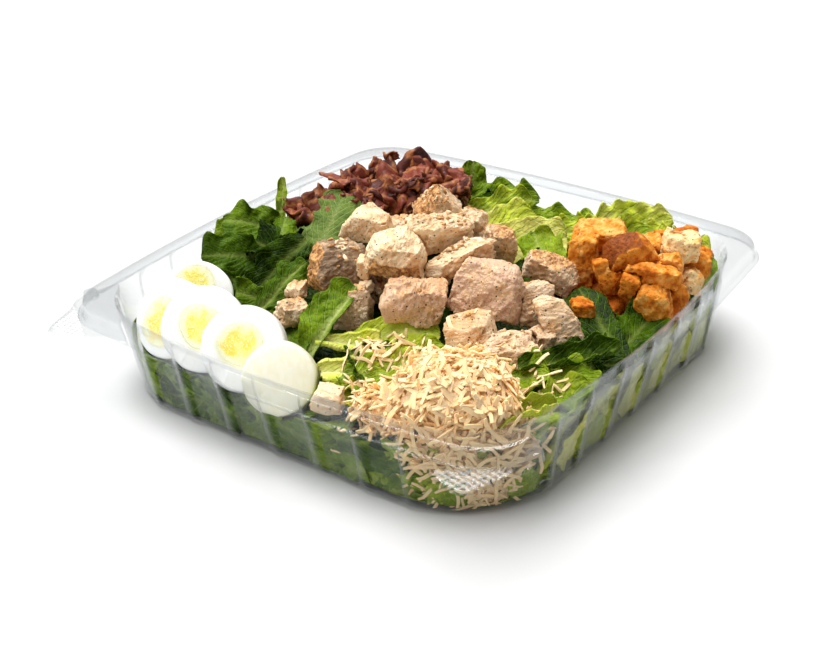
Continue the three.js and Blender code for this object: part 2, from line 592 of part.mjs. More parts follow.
function lettuceMesh(taken, room) {
  const underside = undersideGrid(taken);
  const points = [];
  const triangles = [];
  const corner = RIM_CORNER - BED.wallMargin;
  const wallTop = { half: RIM_HALF - BED.wallMargin, bow: RIM_BOW, corner };
  const sector = (2 * Math.PI) / BED.spokes;
  const radiusAt = (angle) => {
    const fold = Math.abs(((angle + Math.PI / 4) % (Math.PI / 2)) - Math.PI / 4);
    let reach = wallTop.half;
    for (let pass = 0; pass < BED.wallPasses; pass += 1) {
      const y = Math.min(reach * Math.sin(fold), wallTop.half - wallTop.corner * BED.cornerShare);
      reach = sideDistance(wallTop, y) / Math.cos(fold);
    }
    return reach;
  };
  const top = (x, y, reach) => {
    const carried = underside(x, y, reach) - GAP;
    const covered = Number.isFinite(underside(x, y, 0));
    return Math.max(BED.lowest, covered ? carried : Math.min(freeBedHeight(x, y), carried));
  };
  points.push([0, 0, SHEET], [0, 0, top(0, 0, BED.middleReach)]);
  for (let s = 0; s < BED.spokes; s += 1) {
    const angle = s * sector;
    const full = radiusAt(angle);
    points.push([full * Math.cos(angle), full * Math.sin(angle), SHEET]);
    BED.ringPlaces.forEach((share, ring) => {
      const r = full * share;
      const x = r * Math.cos(angle);
      const y = r * Math.sin(angle);
      const step = full * (share - (BED.ringPlaces[ring - 1] ?? 0));
      points.push([x, y, top(x, y, Math.max(step, r * sector) * BED.reachShare)]);
    });
  }
  const rings = BED.ringPlaces.length;
  const id = (s, ring) => 2 + (s % BED.spokes) * (rings + 1) + ring;
  for (let s = 0; s < BED.spokes; s += 1) {
    triangles.push([0, id(s + 1, 0), id(s, 0)]);
    triangles.push([1, id(s, 1), id(s + 1, 1)]);
    triangles.push([id(s, 0), id(s + 1, 0), id(s + 1, rings)]);
    triangles.push([id(s, 0), id(s + 1, rings), id(s, rings)]);
    for (let ring = 1; ring < rings; ring += 1) {
      triangles.push([id(s, ring), id(s, ring + 1), id(s + 1, ring + 1)]);
      triangles.push([id(s, ring), id(s + 1, ring + 1), id(s + 1, ring)]);
    }
  }
  const solid = fitted(solidOf(geometryFrom(points, triangles)), taken, room);
  return meshOf('lettuce', solid, 0x5c8a2c, 0.55);
}

// ---------- assembly ----------

function buildSalad() {
  const salad = new THREE.Group();
  const room = roomForFood();
  const taken = [];
  salad.add(trayMesh());
  salad.add(...eggMeshes(taken, room));
  salad.add(...fittedPieces(CHICKEN, 'chicken', taken, room));
  salad.add(...fittedPieces(CROUTONS, 'crouton', taken, room));
  const bacon = { rough: 0.35, seed: 4, colour: 0x7a3526, roughness: 0.5 };
  const cheese = { rough: 0.2, seed: 9, colour: 0xf1dba6, roughness: 0.7 };
  salad.add(heapMesh('bacon', BACON_MOUNDS, bacon, taken, room));
  salad.add(heapMesh('cheese', CHEESE_MOUNDS, cheese, taken, room));
  salad.add(lettuceMesh(taken, room));
  return salad;
}

export default buildSalad();
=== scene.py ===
# A chicken caesar salad in its clear take-away tray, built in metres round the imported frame.
import math
import random

import bpy
import numpy as np
from mathutils import Matrix, Quaternion, Vector, noise
from mathutils.bvhtree import BVHTree


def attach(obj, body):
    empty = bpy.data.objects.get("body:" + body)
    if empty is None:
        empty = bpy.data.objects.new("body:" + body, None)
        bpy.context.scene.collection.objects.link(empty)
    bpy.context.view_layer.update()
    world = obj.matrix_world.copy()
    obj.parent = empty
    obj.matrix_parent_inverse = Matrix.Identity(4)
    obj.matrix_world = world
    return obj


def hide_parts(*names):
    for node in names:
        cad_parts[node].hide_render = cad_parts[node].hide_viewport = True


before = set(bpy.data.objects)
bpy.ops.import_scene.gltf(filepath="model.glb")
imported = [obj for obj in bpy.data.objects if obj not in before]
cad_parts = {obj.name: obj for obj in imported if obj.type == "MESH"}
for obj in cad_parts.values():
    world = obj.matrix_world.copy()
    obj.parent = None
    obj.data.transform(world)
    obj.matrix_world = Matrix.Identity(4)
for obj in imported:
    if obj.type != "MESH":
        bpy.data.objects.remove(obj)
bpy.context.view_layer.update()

# ---------- camera ----------
# A 62.6 mm lens on a 36 mm sensor, a little over 0.6 m from the tray, to the right of its opening
# edge and looking down on it.
MM = 0.001
LOOK_AT = Vector((5.176, -18.183, 20.659)) * MM
CAMERA_AWAY = 625.441 * MM
CAMERA_TURN, CAMERA_DOWN, CAMERA_ROLL = (math.radians(a) for a in (37.155, 28.526, -1.863))
SENSOR_WIDTH = 36
IMAGE_WIDTH, FOCAL_PIXELS = 825, 1433.924

bpy.ops.object.select_all(action="DESELECT")
bpy.ops.object.camera_add()
camera = bpy.context.object
back = Vector((
    math.sin(CAMERA_TURN) * math.cos(CAMERA_DOWN),
    -math.cos(CAMERA_TURN) * math.cos(CAMERA_DOWN),
    math.sin(CAMERA_DOWN),
))
level_right = Vector((math.cos(CAMERA_TURN), math.sin(CAMERA_TURN), 0))
right = Quaternion(back, CAMERA_ROLL) @ level_right
camera.matrix_world = Matrix.Translation(LOOK_AT + back * CAMERA_AWAY) @ Matrix(
    (right, back.cross(right), back)
).transposed().to_4x4()
camera.data.sensor_width = SENSOR_WIDTH
camera.data.lens = FOCAL_PIXELS * SENSOR_WIDTH / IMAGE_WIDTH
bpy.context.scene.camera = camera

# ---------- finishes ----------
# How every material is written: a socket that takes part in sums, and one method that adds a node
# of any kind with its settings first and its values or links after them.


class Value:
    """A node's output that can be added, multiplied and compared in an expression."""

    def __init__(self, finish, node, output):
        self.finish, self.node, self.socket = finish, node, node.outputs[output]

    def other(self, output):
        return Value(self.finish, self.node, output)

    def sum(self, operation, *values):
        return self.finish.node("Math", {"operation": operation}, dict(enumerate(values)))

    def __add__(self, value):
        return self.sum("ADD", self, value)

    def __sub__(self, value):
        return self.sum("SUBTRACT", self, value)

    def __rsub__(self, value):
        return self.sum("SUBTRACT", value, self)

    def __mul__(self, value):
        return self.sum("MULTIPLY", self, value)

    def __pow__(self, value):
        return self.sum("POWER", self, value)

    def __lt__(self, value):
        return self.sum("LESS_THAN", self, value)

    def __abs__(self):
        return self.sum("ABSOLUTE", self)

    def between(self, low, high, to_low=0.0, to_high=1.0):
        """Runs smoothly from to_low to to_high as the value goes from low to high."""
        ends = {"Value": self, "From Min": low, "From Max": high, "To Min": to_low, "To Max": to_high}
        return self.finish.node("MapRange", {"interpolation_type": "SMOOTHSTEP"}, ends)

    def tint(self, first, second):
        """A mix of two colours, which is the first where the value is 0."""
        colours = {"Factor": self, 6: first, 7: second}
        return self.finish.node("Mix", {"data_type": "RGBA"}, colours, 2)


class Finish:
    """A material with one main shader."""

    def __init__(self, name, **fixed):
        self.material = bpy.data.materials.new(name)
        self.material.use_nodes = True
        self.tree = self.material.node_tree
        self.shader = self.tree.nodes["Principled BSDF"]
        self.out = self.tree.nodes["Material Output"]
        self.place = self.node("TexCoord", {}, {}, "Object")
        for socket, value in fixed.items():
            self.set(socket, value)

    def feed(self, socket, value):
        if isinstance(value, Value):
            self.tree.links.new(value.socket, socket)
        elif isinstance(value, tuple) and len(value) == 3 and socket.type == "RGBA":
            socket.default_value = (*value, 1)
        else:
            socket.default_value = value

    def set(self, socket, value):
        self.feed(self.shader.inputs[socket.replace("_", " ")], value)

    def node(self, kind, settings, values, output=0):
        made = self.tree.nodes.new("ShaderNode" + kind)
        for name, value in settings.items():
            setattr(made, name, value)
        for socket, value in values.items():
            self.feed(made.inputs[socket], value)
        return Value(self, made, output)

    def blotches(self, width, detail=2.0, where=None):
        """Noise whose blotches are about that wide."""
        values = {"Vector": where or self.place, "Scale": 1 / width, "Detail": detail}
        return self.node("TexNoise", {}, values)

    def cells(self, width, feature="F1"):
        values = {"Vector": self.place, "Scale": 1 / width}
        return self.node("TexVoronoi", {"feature": feature}, values, "Distance")

    def specks(self, width, radius, share):
        """1 in small round specks, in that share of cells of that width."""
        cell = self.cells(width)
        chosen = self.node("SeparateColor", {}, {"Color": cell.other("Color")}) < share
        return (cell < radius / width) * chosen

    def stretched(self, where, scale):
        return self.node("Mapping", {}, {"Vector": where, "Scale": scale}, "Vector")

    def attribute(self, name, output="Fac"):
        return self.node("Attribute", {"attribute_name": name}, {}, output)

    def bumps(self, *heights):
        """Feeds the shader's normal from heights, each with its depth in metres."""
        normal = None
        for height, depth in heights:
            values = {"Height": height, "Distance": depth, "Strength": 1.0}
            if normal:
                values["Normal"] = normal
            normal = self.node("Bump", {}, values, "Normal")
        self.set("Normal", normal)


def dress(piece, finish, node):
    """Gives a finished piece its material, hangs it under the root and hides the imported part it stands for.
    """
    piece.data.materials.clear()
    piece.data.materials.append(finish.material)
    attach(piece, "root")
    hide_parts(node)


# ---------- floor and light ----------
# A seamless white sheet under the tray. The key is a broad lamp high up on the left, two soft boxes
# give the sheet its highlights, and the room adds a dim white.
bpy.ops.mesh.primitive_plane_add(size=5)
floor = bpy.context.object
floor.name = "floor"
bpy.ops.object.mode_set(mode="EDIT")
bpy.ops.mesh.subdivide(number_cuts=3)
bpy.ops.object.mode_set(mode="OBJECT")
paper = Finish("white paper sheet", Roughness=0.9)
paper.set("Base Color", paper.blotches(300 * MM).tint((0.57, 0.57, 0.57), (0.58, 0.58, 0.58)))
floor.data.materials.append(paper.material)


def soft_box(name, at, size, power):
    bpy.ops.object.light_add(type="AREA", location=at)
    lamp = bpy.context.object
    lamp.name = name
    lamp.data.shape = "RECTANGLE"
    lamp.data.size, lamp.data.size_y = size
    lamp.data.energy = power
    lamp.rotation_euler = (Vector(at) - LOOK_AT).to_track_quat("Z", "Y").to_euler()


bpy.ops.object.light_add(type="SUN")
key = bpy.context.object
key.name = "key lamp"
key.data.energy = 4.5
key.data.angle = math.radians(55)
key.rotation_euler = Vector((-0.24, 0.04, 0.97)).to_track_quat("Z", "Y").to_euler()
soft_box("back strip", (-0.42, 0.5, 0.85), (0.6, 0.06), 3)
soft_box("front left box", (-0.5, -0.9, 0.55), (0.8, 0.6), 2.6)

scene = bpy.context.scene
scene.world = bpy.data.worlds.new("dim white room")
scene.world.use_nodes = True
room = scene.world.node_tree.nodes["Background"].inputs
room["Color"].default_value = (1, 1, 1, 1)
room["Strength"].default_value = 0.33
scene.view_settings.view_transform = "Standard"
scene.cycles.transparent_max_bounces = 32

# ---------- tray ----------
# One thin clear formed sheet: a square bowl with rounded corners, upright flutes in its walls, a flat
# shelf, a skirt that drops to a narrow lip, and a knurled pull tab with a snap stud at two corners.
SHEET = 0.5 * MM
RIM_TOP = 42.2 * MM
LIP_TOP = 35.9 * MM
FLUTES = [-67, -46, -23, 0, 23, 46, 67]  # their middles along each side, in mm
FLUTE_REACH = 71  # how far from the middle of a side the flutes go
FLUTE_PROFILE = [(-3.9, 0), (-3.1, 0.12), (-2.5, 0.7), (-1.8, 1), (1.8, 1), (2.5, 0.7), (3.1, 0.12), (3.9, 0)]
SIDE_STATIONS = [(c + x, depth) for c in FLUTES for x, depth in FLUTE_PROFILE]
SIDE_STATIONS += [(c, 0) for c in (-56.5, -34.5, -11.5, 11.5, 34.5, 56.5)]
SIDE_STATIONS.sort()
CORNER_STEPS = 14
TRAY_LOOPS = [  # height, half-width, corner radius, bow of the sides and depth of the flutes, in mm
    (0.5, 98, 41, -0.5, 0), (0.5, 101.4, 43.6, -0.5, 0),
    (0.7, 102.0, 44.2, -0.5, 0.1), (1.3, 102.7, 44.9, -0.5, 0.4), (2.3, 103.4, 45.6, -0.5, 0.8),
    (2.9, 103.8, 46, -0.5, 1.0), (4.5, 103.95, 45.8, -0.3, 1.1), (14, 104.8, 44.3, 0.9, 1.5),
    (24, 105.6, 42.8, 2, 1.9), (34, 106.5, 41.2, 3.3, 2.2), (37, 106.7, 40.8, 3.7, 1.7),
    (39, 106.9, 40.5, 3.9, 0.8), (40.2, 107, 40.3, 4.1, 0.2), (41.5, 107.15, 40.1, 4.2, 0),
    (42, 107.35, 40.2, 4.3, 0), (42.2, 107.9, 39.5, 4.3, 0),
    (42.25, 109.2, 36, 4.3, 0), (42.25, 110.4, 30, 4.3, 0), (42.2, 111.4, 24, 4.3, 0),
    (41.9, 111.8, 22.4, 4.3, 0), (41.2, 112, 22, 4.3, 0), (38.6, 112.2, 22.2, 4.3, 0),
    (36.8, 112.3, 22.4, 4.3, 0), (36.1, 112.6, 22.6, 4.3, 0), (35.9, 113.1, 23.2, 4.3, 0),
    (35.9, 113.8, 23.8, 4.3, 0), (36.2, 114.0, 24.1, 4.3, 0),
]


def side_distance(half, corner, bow, y):
    """How far a wall is from the middle of the tray, at a place y along that side."""
    straight = half - corner
    if abs(y) <= straight:
        return half + bow * (1 - (y / straight) ** 2)
    return straight + math.sqrt(corner**2 - (abs(y) - straight) ** 2)


def tray_loop(height, half, corner, bow, flute):
    """One level loop of the sheet, as points in metres."""
    straight = half - corner
    first = math.asin((max(straight, FLUTE_REACH) - straight) / corner)
    side = []
    for y, depth in SIDE_STATIONS:
        side.append((side_distance(half, corner, bow, y) + depth * flute, y))
    for step in range(CORNER_STEPS):
        angle = first + (step + 0.5) / CORNER_STEPS * (math.pi / 2 - 2 * first)
        side.append((straight + corner * math.cos(angle), straight + corner * math.sin(angle)))
    loop = []
    for quarter in range(4):
        turn = Matrix.Rotation(quarter * math.pi / 2, 2)
        loop += [(*(turn @ Vector(p)) * MM, height * MM) for p in side]
    return np.array(loop)


def set_mode(mode):
    bpy.ops.object.mode_set(mode=mode)


def select_none(kind=None):
    """Deselects all of the active mesh. With a kind, that is what is picked from then on."""
    set_mode("EDIT")
    if kind:
        bpy.ops.mesh.select_mode(type=kind)
    bpy.ops.mesh.select_all(action="DESELECT")
    set_mode("OBJECT")


def face_outward():
    """Turns all faces of the active mesh outward."""
    set_mode("EDIT")
    bpy.ops.mesh.select_all(action="SELECT")
    bpy.ops.mesh.normals_make_consistent(inside=False)
    set_mode("OBJECT")


def alone(piece):
    """Makes a piece the only selected one."""
    bpy.ops.object.select_all(action="DESELECT")
    piece.select_set(True)
    bpy.context.view_layer.objects.active = piece


def gather(name, pieces):
    """Joins pieces into the first of them, which gets a new name."""
    alone(pieces[0])
    for piece in pieces[1:]:
        piece.select_set(True)
    bpy.ops.object.join()
    pieces[0].name = name
    return pieces[0]


def smooth(piece, up_to=None):
    """Shades a piece smooth, all over or across edges that turn by up to that many degrees."""
    alone(piece)
    if up_to:
        bpy.ops.object.shade_smooth_by_angle(angle=math.radians(up_to))
    else:
        bpy.ops.object.shade_smooth()


def points_of(mesh):
    flat = np.empty(len(mesh.vertices) * 3, np.float32)
    mesh.vertices.foreach_get("co", flat)
    return flat.reshape(-1, 3).astype(float)


def move_points(mesh, points):
    mesh.vertices.foreach_set("co", np.asarray(points, np.float32).ravel())
    mesh.update()


def modify(piece, kind, **settings):
    """Adds one modifier to a piece and applies it."""
    alone(piece)
    modifier = piece.modifiers.new(kind.lower(), kind)
    for name, value in settings.items():
        setattr(modifier, name, value)
    bpy.ops.object.modifier_apply(modifier=modifier.name)


def mark(piece, name, values):
    """Stores one number for each point of a piece, for its material to read."""
    layer = piece.data.attributes.new(name, "FLOAT", "POINT")
    layer.data.foreach_set("value", np.broadcast_to(values, len(piece.data.vertices)).astype(np.float32))


loop_count = 4 * (len(SIDE_STATIONS) + CORNER_STEPS)
bpy.ops.object.select_all(action="DESELECT")
bpy.ops.mesh.primitive_circle_add(vertices=loop_count, radius=0.1)
tray = bpy.context.object
tray.name = "clear_tray"
for k, loop_sizes in enumerate(TRAY_LOOPS):
    if k:
        set_mode("EDIT")
        bpy.ops.mesh.extrude_region_move()
        set_mode("OBJECT")
    tray_points = points_of(tray.data)
    tray_points[k * loop_count:] = tray_loop(*loop_sizes)
    move_points(tray.data, tray_points)
select_none()
for edge in tray.data.edges:
    edge.select = max(edge.vertices) < loop_count
set_mode("EDIT")
bpy.ops.mesh.edge_face_add()
face_outward()
if max(tray.data.polygons, key=lambda face: face.area).normal.z < 0:
    tray.data.flip_normals()
modify(tray, "SOLIDIFY", thickness=SHEET, offset=-1)

TAB_ROOT = [(84, -104), (68, -114.5)]
TAB_EDGE = [
    (80, -116.5), (88, -121.5), (97, -125.6), (104.5, -125.8), (109, -121.5), (111.6, -114),
    (114.5, -105), (118.4, -98), (118.9, -90), (116.8, -85), (114.5, -76),
]
TAB_END = [(104, -86)]
GRIP_LINE = (Vector((84.7, -121.4)), Vector((108.9, -105.2)))
KNURL_PITCH, KNURL_HEIGHT = 3.6, 0.6
GRIP_FADE, GRIP_MARGIN = 1.2, 1.5
TURN_DOWN, TURN_WIDTH = 0.7, 1.1
TAB_STEP = 0.55
STUD_AT, STUD_RADIUS, STUD_HEIGHT = (114.5, -93), 3.6, 3.4
STUD_TAPER, STUD_SIDES = 0.8, 40


def rounded(points, steps=6):
    """A smooth run through points, with their ends kept."""
    ends = [points[0], *points, points[-1]]
    run = []
    for a, b, c, d in zip(ends, ends[1:], ends[2:], ends[3:]):
        a, b, c, d = (np.array(p, float) for p in (a, b, c, d))
        for t in np.arange(steps) / steps:
            run.append(0.5 * (2 * b + (c - a) * t + (2 * a - 5 * b + 4 * c - d) * t**2
                              + (3 * b - a - 3 * c + d) * t**3))
    return np.array([*run, points[-1]])


def nearest_on(outline, points):
    """The nearest place on a closed outline to each point, and whether the point is inside."""
    start = outline
    along = np.roll(outline, -1, 0) - outline
    offset = points[:, None] - start[None]
    t = np.clip((offset * along).sum(2) / (along**2).sum(1), 0, 1)
    places = start[None] + t[..., None] * along[None]
    distance = np.linalg.norm(points[:, None] - places, axis=2)
    best = distance.argmin(1)
    y, y0, y1 = points[:, None, 1], start[None, :, 1], np.roll(start, -1, 0)[None, :, 1]
    cross_x = start[None, :, 0] + (y - y0) / np.where(y1 == y0, 1e-9, y1 - y0) * along[None, :, 0]
    inside = (((y0 > y) != (y1 > y)) & (points[:, None, 0] < cross_x)).sum(1) % 2 == 1
    rows = np.arange(len(points))
    return places[rows, best], distance[rows, best], inside


def triangle_wave(t):
    return 1 - abs(2 * (t - np.floor(t)) - 1)


def pull_tab(side):
    """One pull tab, flat at the height of the lip, with a knurled grip and a turned-down edge."""
    outline = np.vstack([TAB_ROOT, rounded(TAB_EDGE), TAB_END])
    low, high = outline.min(0), outline.max(0)
    cells = np.ceil((high - low) / TAB_STEP).astype(int)
    bpy.ops.object.select_all(action="DESELECT")
    bpy.ops.mesh.primitive_grid_add(x_subdivisions=int(cells[0]), y_subdivisions=int(cells[1]), size=2)
    tab = bpy.context.object
    flat = (points_of(tab.data)[:, :2] + 1) / 2 * (high - low) + low
    inside = nearest_on(outline, flat)[2]
    select_none("VERT")
    move_points(tab.data, np.column_stack([flat, np.zeros(len(flat))]))
    tab.data.vertices.foreach_set("select", ~inside)
    set_mode("EDIT")
    bpy.ops.mesh.delete(type="VERT")
    bpy.ops.mesh.select_all(action="SELECT")
    bpy.ops.mesh.region_to_loop()
    set_mode("OBJECT")
    at_edge = np.array([v.select for v in tab.data.vertices])
    flat = points_of(tab.data)[:, :2]
    places, distance, _ = nearest_on(outline, flat)
    flat[at_edge] = places[at_edge]
    distance[at_edge] = 0
    across = (GRIP_LINE[1] - GRIP_LINE[0]).normalized()
    beyond = (flat[:, 0] - GRIP_LINE[0].x) * across.y - (flat[:, 1] - GRIP_LINE[0].y) * across.x
    u, v = (flat @ np.array((across.x, across.y)), beyond)
    diamonds = np.minimum(triangle_wave((u + v) / KNURL_PITCH), triangle_wave((u - v) / KNURL_PITCH))
    grip = np.clip(beyond / GRIP_FADE, 0, 1) * np.clip(distance / GRIP_MARGIN - 0.6, 0, 1)
    turned_down = TURN_DOWN * np.clip(1 - distance / TURN_WIDTH, 0, 1) ** 2
    height = KNURL_HEIGHT * (diamonds * grip) - turned_down + LIP_TOP / MM
    points = np.column_stack([flat[:, 0] * side, flat[:, 1], height]) * MM
    move_points(tab.data, points)
    mark(tab, "frost", grip * np.clip(2.2 - diamonds * 5, 0, 1))
    face_outward()
    if tab.data.polygons[0].normal.z < 0:
        tab.data.flip_normals()
    modify(tab, "SOLIDIFY", thickness=SHEET, offset=-1)
    return tab


def snap_stud(side):
    """The hollow stud that clicks into the lid's tab."""
    bpy.ops.object.select_all(action="DESELECT")
    foot = LIP_TOP - SHEET
    bpy.ops.mesh.primitive_cone_add(
        vertices=STUD_SIDES, radius1=STUD_RADIUS * MM, radius2=STUD_RADIUS * STUD_TAPER * MM,
        depth=STUD_HEIGHT * MM,
        location=(side * STUD_AT[0] * MM, STUD_AT[1] * MM, foot + STUD_HEIGHT / 2 * MM),
    )
    stud = bpy.context.object
    bpy.ops.object.transform_apply()
    select_none()
    for face in stud.data.polygons:
        face.select = face.normal.z < -0.9
    set_mode("EDIT")
    bpy.ops.mesh.delete(type="FACE")
    bpy.ops.mesh.select_mode(type="EDGE")
    face_outward()
    modify(stud, "BEVEL", width=0.5 * MM, segments=3, limit_method="ANGLE")
    modify(stud, "SOLIDIFY", thickness=SHEET * 0.8, offset=-1)
    return stud


sheet_parts = [make(side) for side in (1, -1) for make in (pull_tab, snap_stud)]
gather("clear_tray", [tray, *sheet_parts])
smooth(tray, 40)

clear = Finish("clear formed sheet", Base_Color=(0.74, 0.75, 0.76), Metallic=0.9)
facing = clear.node("LayerWeight", {}, {"Blend": 0.5}, "Facing")
frost = clear.attribute("frost")
scuffs = clear.blotches(9 * MM, 4).between(0.5, 0.8, 0, 0.01)
clear.set("Roughness", frost * 0.4 + 0.05)
see_through = clear.node("BsdfTransparent", {}, {"Color": (0.960, 0.965, 0.967)})
shares = {0: facing ** 4 * 1.2 + 0.006 + scuffs + frost * 0.12, 1: see_through}
sheet_shader = clear.node("MixShader", {}, shares)
clear.tree.links.new(clear.shader.outputs[0], sheet_shader.node.inputs[2])
clear.tree.links.new(sheet_shader.socket, clear.out.inputs["Surface"])
clear.bumps((clear.blotches(14 * MM, 1), 0.12 * MM))
dress(tray, clear, "tray")

# ---------- egg ----------
# One hard-boiled egg cut across into five slices that lean on each other along the front left wall.
# Each slice is a ring of white round its own disc of yolk, and the first is the domed end of white.
EGG = [  # middle in mm, where it faces, front and back radius, thickness, radius of the yolk, its offset
    ((-1, -98, 33), (37, 30), 14.6, 15.4, 9, 0, (0, 0)),
    ((-22, -95, 39), (35, 32), 17, 18, 8, 8.6, (-0.8, 1.2)),
    ((-45, -93, 40), (31, 33), 18, 17.6, 8, 8.6, (-1, 0.8)),
    ((-66, -90, 37), (4, 34), 17.4, 17, 8, 10.2, (-3, -2.4)),
    ((-76, -66, 35), (50, 40), 15.5, 15, 8, 9.3, (-1, 3.6)),
]
EGG_SIDES = 96
EGG_DOME = ((2.2, 0.5), (3.0, 0.4), (3.0, 0.2))  # insets and lifts that round the end slice, in mm
EGG_BEVEL = 0.9
EGG_LUMPS = (16, 16, 16)
EGG_BULGE = 0.8
EGG_GAP = 0.3
YOLK_VOXEL = 0.4
DEEP_YOLK = 4  # the slice whose yolk is more orange


def heading(turn, rise):
    """The direction that turns from -Y towards +X and rises by those angles, in degrees."""
    turn, rise = math.radians(turn), math.radians(rise)
    return math.sin(turn) * math.cos(rise), -math.cos(turn) * math.cos(rise), math.sin(rise)


def face_up(piece):
    """Selects a piece's faces that point along Z either way, and nothing else."""
    select_none("FACE")
    for face in piece.data.polygons:
        face.select = abs(face.normal.z) > 0.9
    set_mode("EDIT")


def disc(name, radius, thick, extra=0.0, front=None):
    """A drum on the Z axis, in mm, whose front face may have a radius of its own."""
    bpy.ops.object.select_all(action="DESELECT")
    bpy.ops.mesh.primitive_cone_add(
        vertices=EGG_SIDES, radius1=(radius + extra) * MM, radius2=((front or radius) + extra) * MM,
        depth=(thick + 2 * extra) * MM,
    )
    piece = bpy.context.object
    piece.name = name
    return piece


def turn_to(piece, at, face):
    """Turns a piece's Z axis to the direction of a cut face, moves it to its place and applies both."""
    turned = Vector(heading(*face)).to_track_quat("Z", "Y").to_matrix().to_4x4()
    piece.data.transform(Matrix.Translation(Vector(at) * MM) @ turned)


def cut_by(piece, cutters):
    for cutter in cutters:
        modify(piece, "BOOLEAN", operation="DIFFERENCE", object=cutter, solver="EXACT")


def pattern(name, kind="CLOUDS", **settings):
    """A pattern one unit wide, for surfaces to be pushed in and out by."""
    texture = bpy.data.textures.new(name, kind)
    texture.noise_scale = 1
    for setting, value in settings.items():
        setattr(texture, setting, value)
    return texture


def linked(name, data):
    """A new object in the scene."""
    made = bpy.data.objects.new(name, data)
    bpy.context.collection.objects.link(made)
    return made


lumps = pattern("soft lumps", noise_depth=1)


def roughen(piece, texture, size, strength, turn=(0, 0, 0), only=""):
    """Pushes a surface in and out by a pattern of that size in mm, which may be longer one way."""
    guide = linked("guide", None)
    guide.scale = [s * MM for s in size]
    guide.rotation_euler = turn
    bpy.context.view_layer.update()
    modify(piece, "DISPLACE", texture=texture, texture_coords="OBJECT", texture_coords_object=guide,
           strength=strength * MM, mid_level=0.5, vertex_group=only)
    bpy.data.objects.remove(guide)


white_finish = Finish(
    "boiled egg white", Subsurface_Weight=0.35, Subsurface_Scale=4 * MM, Subsurface_Radius=(1.0, 0.9, 0.75),
)
milky = white_finish.blotches(7 * MM, 3)
egg_colour = milky.between(0.3, 0.7).tint((0.94, 0.93, 0.88), (0.97, 0.965, 0.94))
striped = white_finish.blotches(2.2 * MM, 1, white_finish.stretched(white_finish.place, (1, 1, 0.1)))
cream = striped.between(0.3, 0.7).tint((0.90, 0.86, 0.62), (0.94, 0.91, 0.72))
egg_colour = white_finish.attribute("cream").tint(egg_colour, cream)
by_yolk = (white_finish.attribute("by_yolk") + milky * 0.3 - 0.15).between(0.72, 1.0)
egg_colour = by_yolk.tint(egg_colour, (0.96, 0.93, 0.62))
white_finish.set("Base Color", egg_colour)
white_finish.set("Roughness", white_finish.blotches(2 * MM, 3).between(0.3, 0.7, 0.28, 0.42))
cut_lines = white_finish.blotches(1.6 * MM, 1, white_finish.stretched(white_finish.place, (1, 1, 0.12)))
white_finish.bumps((cut_lines, 0.16 * MM), (white_finish.blotches(0.6 * MM, 2), 0.05 * MM))

yolk_finish = Finish(
    "boiled egg yolk", Roughness=0.6, Subsurface_Weight=0.4, Subsurface_Scale=3 * MM,
    Subsurface_Radius=(1.0, 0.8, 0.3),
)
grains = yolk_finish.cells(0.7 * MM)
edge_of_yolk = yolk_finish.attribute("edge")
clouds = yolk_finish.blotches(4.5 * MM, 4)
yolk_colour = clouds.between(0.35, 0.68).tint((0.93, 0.76, 0.10), (0.96, 0.90, 0.30))
yolk_colour = yolk_finish.attribute("deep").tint(yolk_colour, (0.93, 0.60, 0.13))
pale_rim = (edge_of_yolk + clouds * 0.9).between(1.0, 1.45)
yolk_colour = pale_rim.tint(yolk_colour, (0.97, 0.95, 0.66))
yolk_finish.set("Base Color", grains.between(0.6, 0.8).tint(yolk_colour, (0.97, 0.92, 0.5)))
yolk_finish.bumps((grains, 0.14 * MM), (yolk_finish.blotches(0.35 * MM, 2), 0.07 * MM))


def yolk_outline(points, number):
    """How far an uneven yolk reaches in the direction of each point, as a share of its radius."""
    angle = np.arctan2(points[:, 1], points[:, 0])
    return 1 + 0.05 * np.sin(2 * angle + number) + 0.04 * np.sin(3 * angle + 2.3 * number)


BASE_TOP, WALL_FOOT = 0.7, 2.8
WALL_HALF, WALL_SPREAD = 103.8, 3.4  # the plain wall at its foot and what it gains up to the rim, in mm
WALL_CORNER, CORNER_LOSS = 46, 6
WALL_BOW, BOW_GAIN = -0.5, 4.8


def keep_inside(points, clearance):
    """Presses points, in mm, that stand outside the tray's inner wall or under its base back to them."""
    x, y, z = points.T
    z = np.maximum(z, BASE_TOP + clearance)
    rise = np.clip((z - WALL_FOOT) / (RIM_TOP / MM - WALL_FOOT), 0, 1)
    half = WALL_HALF + WALL_SPREAD * rise - clearance
    corner = WALL_CORNER - CORNER_LOSS * rise - clearance
    bow = WALL_BOW + BOW_GAIN * rise
    straight = half - corner
    from_x, from_y = np.abs(x) - straight, np.abs(y) - straight
    off = np.hypot(np.maximum(from_x, 0), np.maximum(from_y, 0))
    turned = (from_x > 0) & (from_y > 0)
    pull = np.where(turned & (off > corner), corner / np.maximum(off, 1e-6), 1)
    limit_x = half + bow * (1 - np.clip(np.abs(y) / straight, 0, 1) ** 2)
    limit_y = half + bow * (1 - np.clip(np.abs(x) / straight, 0, 1) ** 2)
    ax = np.where(turned, straight + from_x * pull, np.minimum(np.abs(x), limit_x))
    ay = np.where(turned, straight + from_y * pull, np.minimum(np.abs(y), limit_y))
    return np.column_stack([np.sign(x) * ax, np.sign(y) * ay, z])


def press_inside(piece, clearance):
    """Flattens a piece where it would stand through the tray's wall or base."""
    move_points(piece.data, keep_inside(points_of(piece.data) / MM, clearance) * MM)


